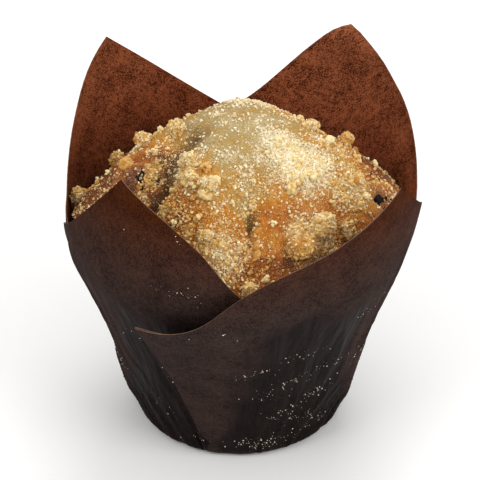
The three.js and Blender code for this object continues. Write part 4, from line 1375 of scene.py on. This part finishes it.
def scatter_tree(name, grain_kind, grain_settings, sizes):
    """A tree that scatters one kind of grain over a bed, by the bed's attribute of that name."""
    tree, given = new_tree(name, sizes)
    where, browned_and_shaded, powdered = [
        add(tree, "GeometryNodeInputNamedAttribute", {"Name": label})
        for label in (name, "browning", "powder")]
    points = add(tree, "GeometryNodeDistributePointsOnFaces", {
        "Mesh": given["Geometry"], "Distance Min": given["Spacing"],
        "Density Max": given["Density"], "Density Factor": where,
        "Seed": given["Seed"]}, distribute_method="POISSON")
    grain = add(tree, grain_kind, grain_settings)
    seeds = [
        add(tree, "ShaderNodeMath", [given["Seed"], float(more)], operation="ADD")
        for more in range(4)]
    turn = add(tree, "FunctionNodeRandomValue", {
        1: (2 * math.pi,) * 3, "Seed": seeds[0]}, data_type="FLOAT_VECTOR")
    chance = add(tree, "FunctionNodeRandomValue", {
        2: 0.0, 3: 1.0, "Seed": seeds[1]}, data_type="FLOAT", out=1)
    squash = add(tree, "FunctionNodeRandomValue", {
        0: (0.5,) * 3, 1: (1.35,) * 3, "Seed": seeds[2]}, data_type="FLOAT_VECTOR")
    shade = add(tree, "FunctionNodeRandomValue", {
        2: 0.3, 3: 1.0, "Seed": seeds[3]}, data_type="FLOAT", out=1)
    skewed = add(tree, "ShaderNodeMath", [chance, SMALL_MANY], operation="POWER")
    size = add(tree, "ShaderNodeMapRange", [skewed, 0, 1, given["Smallest"], given["Largest"]])
    scale = add(tree, "ShaderNodeVectorMath", {0: squash, "Scale": size}, operation="SCALE")
    proud = add(tree, "ShaderNodeMath", [size, given["Proud"]], operation="MULTIPLY")
    lift = add(tree, "ShaderNodeVectorMath", {
        0: points.node.outputs["Normal"], "Scale": proud}, operation="SCALE")
    raised = add(tree, "GeometryNodeSetPosition", {"Geometry": points, "Offset": lift})
    laid = add(tree, "GeometryNodeInstanceOnPoints", {
        "Points": raised, "Instance": grain, "Rotation": turn, "Scale": scale})
    # Grains take a darker, golden tone on browned crust and where shade is painted into it
    golden = add(tree, "ShaderNodeMapRange", [browned_and_shaded, 0, 1, 1.0, 1 - GOLDEN])
    tinted = add(tree, "ShaderNodeMath", [shade, golden], operation="MULTIPLY")
    evened = add(tree, "ShaderNodeMix", {0: powdered, 2: tinted, 3: POWDER_TONE})
    toned = add(tree, "GeometryNodeStoreNamedAttribute", {
        "Geometry": laid, "Name": "tone", "Value": evened}, data_type="FLOAT", domain="INSTANCE")
    real = add(tree, "GeometryNodeRealizeInstances", [toned])
    own = add(tree, "GeometryNodeInputPosition")
    rate = add(tree, "ShaderNodeMath", [1.0, given["Largest"]], operation="DIVIDE")
    bend = add(tree, "ShaderNodeTexNoise", {"Vector": own, "Scale": rate}, out="Color")
    centred = add(tree, "ShaderNodeVectorMath", [bend, (0.5, 0.5, 0.5)], operation="SUBTRACT")
    strength = add(tree, "ShaderNodeMath", [given["Largest"], given["Bend"]], operation="MULTIPLY")
    offset = add(tree, "ShaderNodeVectorMath", {0: centred, "Scale": strength}, operation="SCALE")
    bent = add(tree, "GeometryNodeSetPosition", {"Geometry": real, "Offset": offset})
    finish_tree(tree, bent, given["Material"])
    return tree


print("on the brownest crust a grain keeps", round(1 - GOLDEN, 2), "of its tone")


# %% The bed: muffin and clumps as one mesh
def read(piece, name):
    """The number stored for each point of a piece."""
    values = np.zeros(len(piece.data.vertices), np.float32)
    piece.data.attributes[name].data.foreach_get("value", values)
    return values


def joined_copy(name, pieces):
    """One mesh object made of copies of several pieces."""
    copies = []
    for piece in pieces:
        twin = piece.copy()
        twin.data = piece.data.copy()
        twin.parent = None
        bpy.context.scene.collection.objects.link(twin)
        copies.append(twin)
    with bpy.context.temp_override(
        active_object=copies[0], object=copies[0], selected_editable_objects=copies,
        selected_objects=copies,
    ):
        bpy.ops.object.join()
    copies[0].name = name
    return copies[0]


bed = joined_copy("topping_bed", [cake, *clump_pieces])
crumbly, sugary, apart = [read(bed, name) for name in ("crumble", "sugar", "speckled")]
on_clumps = np.arange(len(crumbly)) >= len(cake.data.vertices)
on_crust = np.clip(ease(crumbly, 0.2, 0.9) + 0.6 * apart, 0, 1)
paint(bed, "crumbs", np.where(on_clumps, 0.1, 0.8) * crumbly ** 1.5)
paint(bed, "grains", np.where(on_clumps, 0.6 * crumbly, on_crust))
paint(bed, "crystals", np.where(on_clumps, 0.45 * crumbly, sugary))
print("bed points:", len(crumbly))

# %% Sugar and scattering
# Sugar's flat faces catch the lamps, so single crystals glint, pale cream to golden
sugar_material, sugar_tree = new_material("sugar_crystals")
sugar_tone = add(sugar_tree, "ShaderNodeAttribute", attribute_name="tone", out="Fac")
finish_material(sugar_tree, {
    "Base Color": add(sugar_tree, "ShaderNodeValToRGB", [sugar_tone], [
        (0.12, "#d3a04c"), (0.62, "#efe0b8"), (1.0, "#f9f2e2")]),
    "Roughness": 0.35, "Specular IOR Level": 0.5})

BALL, CUBE = "GeometryNodeMeshIcoSphere", "GeometryNodeMeshCube"
FINE_BALL = {"Radius": 0.5, "Subdivisions": 3}
PLAIN_BALL = {"Radius": 0.5, "Subdivisions": 1}
GRAIN_SIZES = ("Spacing", "Density", "Smallest", "Largest", "Proud", "Bend", "Seed")
TOPPINGS = [
    # attribute of the bed, grain, its settings, the sizes named above, material
    ("crumbs", BALL, FINE_BALL,
     (1.4 * MM, 1.3e6, 0.7 * MM, 2.2 * MM, 0.05, 0.9, 3), crumble_material),
    ("grains", BALL, PLAIN_BALL,
     (0.34 * MM, 14e6, 0.35 * MM, 1.3 * MM, 0.12, 0.7, 5), crumble_material),
    ("powder", BALL, PLAIN_BALL,
     (0.2 * MM, 60e6, 0.22 * MM, 0.8 * MM, 0.3, 0.6, 9), sugar_material),
    ("crystals", CUBE, {"Size": (0.75, 0.75, 0.75)},
     (0.2 * MM, 15e6, 0.16 * MM, 0.8 * MM, 0.2, 0.5, 7), sugar_material),
]
for name, kind, settings, sizes, material in TOPPINGS:
    tree = scatter_tree(name, kind, settings, dict(zip(GRAIN_SIZES, sizes)))
    mesh = run_tree(bed, tree, Material=material)
    finished_piece("loose_" + name, mesh, "crumble")
    triangles = sum(len(polygon.vertices) - 2 for polygon in mesh.polygons)
    print(name, "triangles:", triangles)
    assert triangles < 200000
bpy.data.objects.remove(bed)

# %% [markdown]
# ## Crumbs placed one by one
#
# Scattering gives the crowd, but a few crumbs catch the eye and have to lie where they lie. They
# are too small to be parts of the imported model. Each one is a small bunch of balls like the
# clumps, set on the crust at its own place, and all of them are one mesh. A ray from straight
# above finds the crust's height for each.

# %% Picked crumbs
PICKED = [
    # x, y, half width, tone
    (-7.9, -14.2, 1.6, 0.35), (12.9, -18.9, 1.9, 0.6), (9.6, -3.4, 1.2, 0.85),
    (6.8, -8.9, 0.9, 0.8), (-35.4, 8.8, 1.1, 0.85), (-38.6, 10.2, 0.9, 0.8),
    (-32.6, 3.6, 0.9, 0.7), (-19.6, 9.6, 1.3, 0.75), (-20.9, -3.4, 1.2, 0.7),
    (-9.8, -25.4, 1.3, 0.55), (-15.8, -24.6, 1.0, 0.8), (8.3, -26.8, 0.9, 0.85),
    (22.8, -17.4, 1.1, 0.6), (31.2, -9.1, 1.2, 0.8), (22.4, 5.6, 1.5, 0.75),
    (29.8, 9.4, 1.3, 0.6), (13.6, 12.9, 1.2, 0.7), (6.9, -36.6, 1.1, 0.7),
    (-4.2, -37.4, 1.2, 0.6), (11.2, -37.8, 1.4, 0.6), (-12.6, 21.5, 1.2, 0.7),
    (4.5, 24.5, 0.8, 0.6), (15.5, 26.8, 1.5, 0.75), (-22.5, 28.5, 1.3, 0.65),
    (-3.8, 33.6, 1.2, 0.7), (27.6, 22.4, 1.4, 0.6), (33.9, 12.8, 1.3, 0.7),
    (-33.6, -11.2, 1.3, 0.6), (-11.4, -12, 1.6, 0.7), (-12.4, -5.6, 1.3, 0.8),
    (-10.6, -18.4, 1.5, 0.7), (-5.6, -18.6, 1.6, 0.7), (-8.4, -21.6, 1.8, 0.55),
    (-16, -14.8, 1.2, 0.6), (14.5, -9.5, 1.2, 0.85), (17.8, -13.4, 1.8, 0.75),
]
PICKED_PROUD = 0.35    # how much of its half width a crumb's middle stands above the crust


def joined_bunch(places, balls, subdivisions, seed):
    """Points, faces and tones of many small bunches. A place is x, y, z, half widths and tone."""
    directions, ball_faces = unit_ball(subdivisions)
    draw = np.random.default_rng(seed)
    points, faces, tones = [], [], []
    for index, (px, py, pz, half, level) in enumerate(places):
        reach = bunch_reach(directions, balls, 0.6, seed + index, core=0.35)
        squash = draw.uniform(0.7, 1.2, 3)
        bunch = directions * (reach / reach.max())[:, None] * half * squash
        faces += [[number + len(directions) * index for number in face] for face in ball_faces]
        points.append(bunch + (px, py, pz))
        # Hollows between the balls get a lower tone, a painted shade
        tones.append(level + 0.25 * np.clip((reach - reach.mean()) / 0.3, -1, 0.5))
    return np.concatenate(points), faces, np.concatenate(tones)


def crust_height(px, py):
    """Height of the muffin's finished surface at one place, in millimetres."""
    _, hit, _, _ = cake.ray_cast((px * MM, py * MM, 120 * MM), (0, 0, -1))
    return hit[2] / MM


picked = [
    (px, py, crust_height(px, py) + PICKED_PROUD * half, half, level)
    for px, py, half, level in PICKED]
picked_points, picked_faces, picked_tones = joined_bunch(picked, 9, 4, 200)
picked_draft = mesh_piece("picked_draft", picked_points, picked_faces, [crumble_material], sharp=80)
for label, value in (("tone", picked_tones), ("crumble", 0.5), ("relief", 0.8)):
    paint(picked_draft, label, np.broadcast_to(value, len(picked_points)))
picked_mesh = raise_relief(
    picked_draft, Swell=0.3 * MM, Pebble=0.5 * MM, Pebble_Size=0.9 * MM, Grain=0.45 * MM,
    Grain_Size=0.5 * MM)
finished_piece("picked_crumbs", picked_mesh, "crumble")
print("picked crumbs:", len(picked), "with", len(picked_faces), "triangles")

# %% [markdown]
# ## Dust on the paper
#
# Sugar and flour cling to the outside of the case where fat has made it tacky, in small patches
# drawn out along the creases. Each patch is a loose handful of specks round a place given by
# azimuth and slant height. A speck lies on the outermost layer there, whichever fold that is.

# %% Dust
DUST = [
    # azimuth, slant height, specks
    (307, 20, 36), (302, 12, 30), (277, 34, 22), (272, 6, 24), (281, 4, 24), (350, 15, 10),
    (319, 46, 14), (248, 64, 22), (238, 78, 4), (252, 79, 3), (228, 14, 10), (225, 41, 7),
    (250, 6, 12), (292, 28, 30), (298, 38, 22), (335, 25, 14), (262, 55, 5), (200, 20, 12),
    (290, 16, 30), (288, 6, 30), (310, 30, 26), (283, 24, 20), (312, 8, 16), (240, 30, 5),
    (160, 30, 14), (120, 16, 12), (85, 35, 14), (40, 14, 12), (20, 40, 10), (60, 50, 6),
]
DUST_SPREAD = (5.5, 1.1)    # degrees of azimuth and millimetres of slant height
DUST_REACH = (1.2, 0.8)     # how near a point of the paper has to be, in the same units
DUST_SIZES = (0.07, 0.28)   # half widths
DUST_PROUD = 0.08
LAYER_DEPTH = 0.4           # points this far inside the outermost one still lie in its layer

scatter = np.random.default_rng(91)
sheet_azimuth = np.degrees(around)
sheet_radius = np.hypot(middle[..., 0], middle[..., 1])
middle_points, outside_ways = middle.reshape(-1, 3), outside.reshape(-1, 3)
specks_placed = []
for patch_azimuth, patch_slant, count in DUST:
    for _ in range(count):
        turned = patch_azimuth + scatter.normal() * DUST_SPREAD[0]
        reached = max(patch_slant + scatter.normal() * DUST_SPREAD[1], 1.5)
        near = np.abs(turn_between(sheet_azimuth, turned)) < DUST_REACH[0]
        near &= np.abs(sheet_slant - reached) < DUST_REACH[1]
        if near.any():
            outermost = near & (sheet_radius > sheet_radius[near].max() - LAYER_DEPTH)
            at = scatter.choice(np.flatnonzero(outermost))
            beside = (at + ROWS) % SIDE_COUNT
            out = outside_ways[at]
            out = out * np.sign(out @ (*middle_points[at][:2], 0))
            place = mix(middle_points[at], middle_points[beside], scatter.random())
            place = place + out * (PAPER / 2 + DUST_PROUD)
            half = mix(*DUST_SIZES, scatter.random() ** 2.5)
            specks_placed.append((*place, half, 0.75 + 0.25 * scatter.random()))
dust_points, dust_faces, dust_tones = joined_bunch(specks_placed, 4, 1, 500)
dust = mesh_piece("dust_on_case", dust_points, dust_faces, [sugar_material], sharp=80)
paint(dust, "tone", dust_tones)
declare(dust, "crumble")
print("specks of dust:", len(specks_placed))
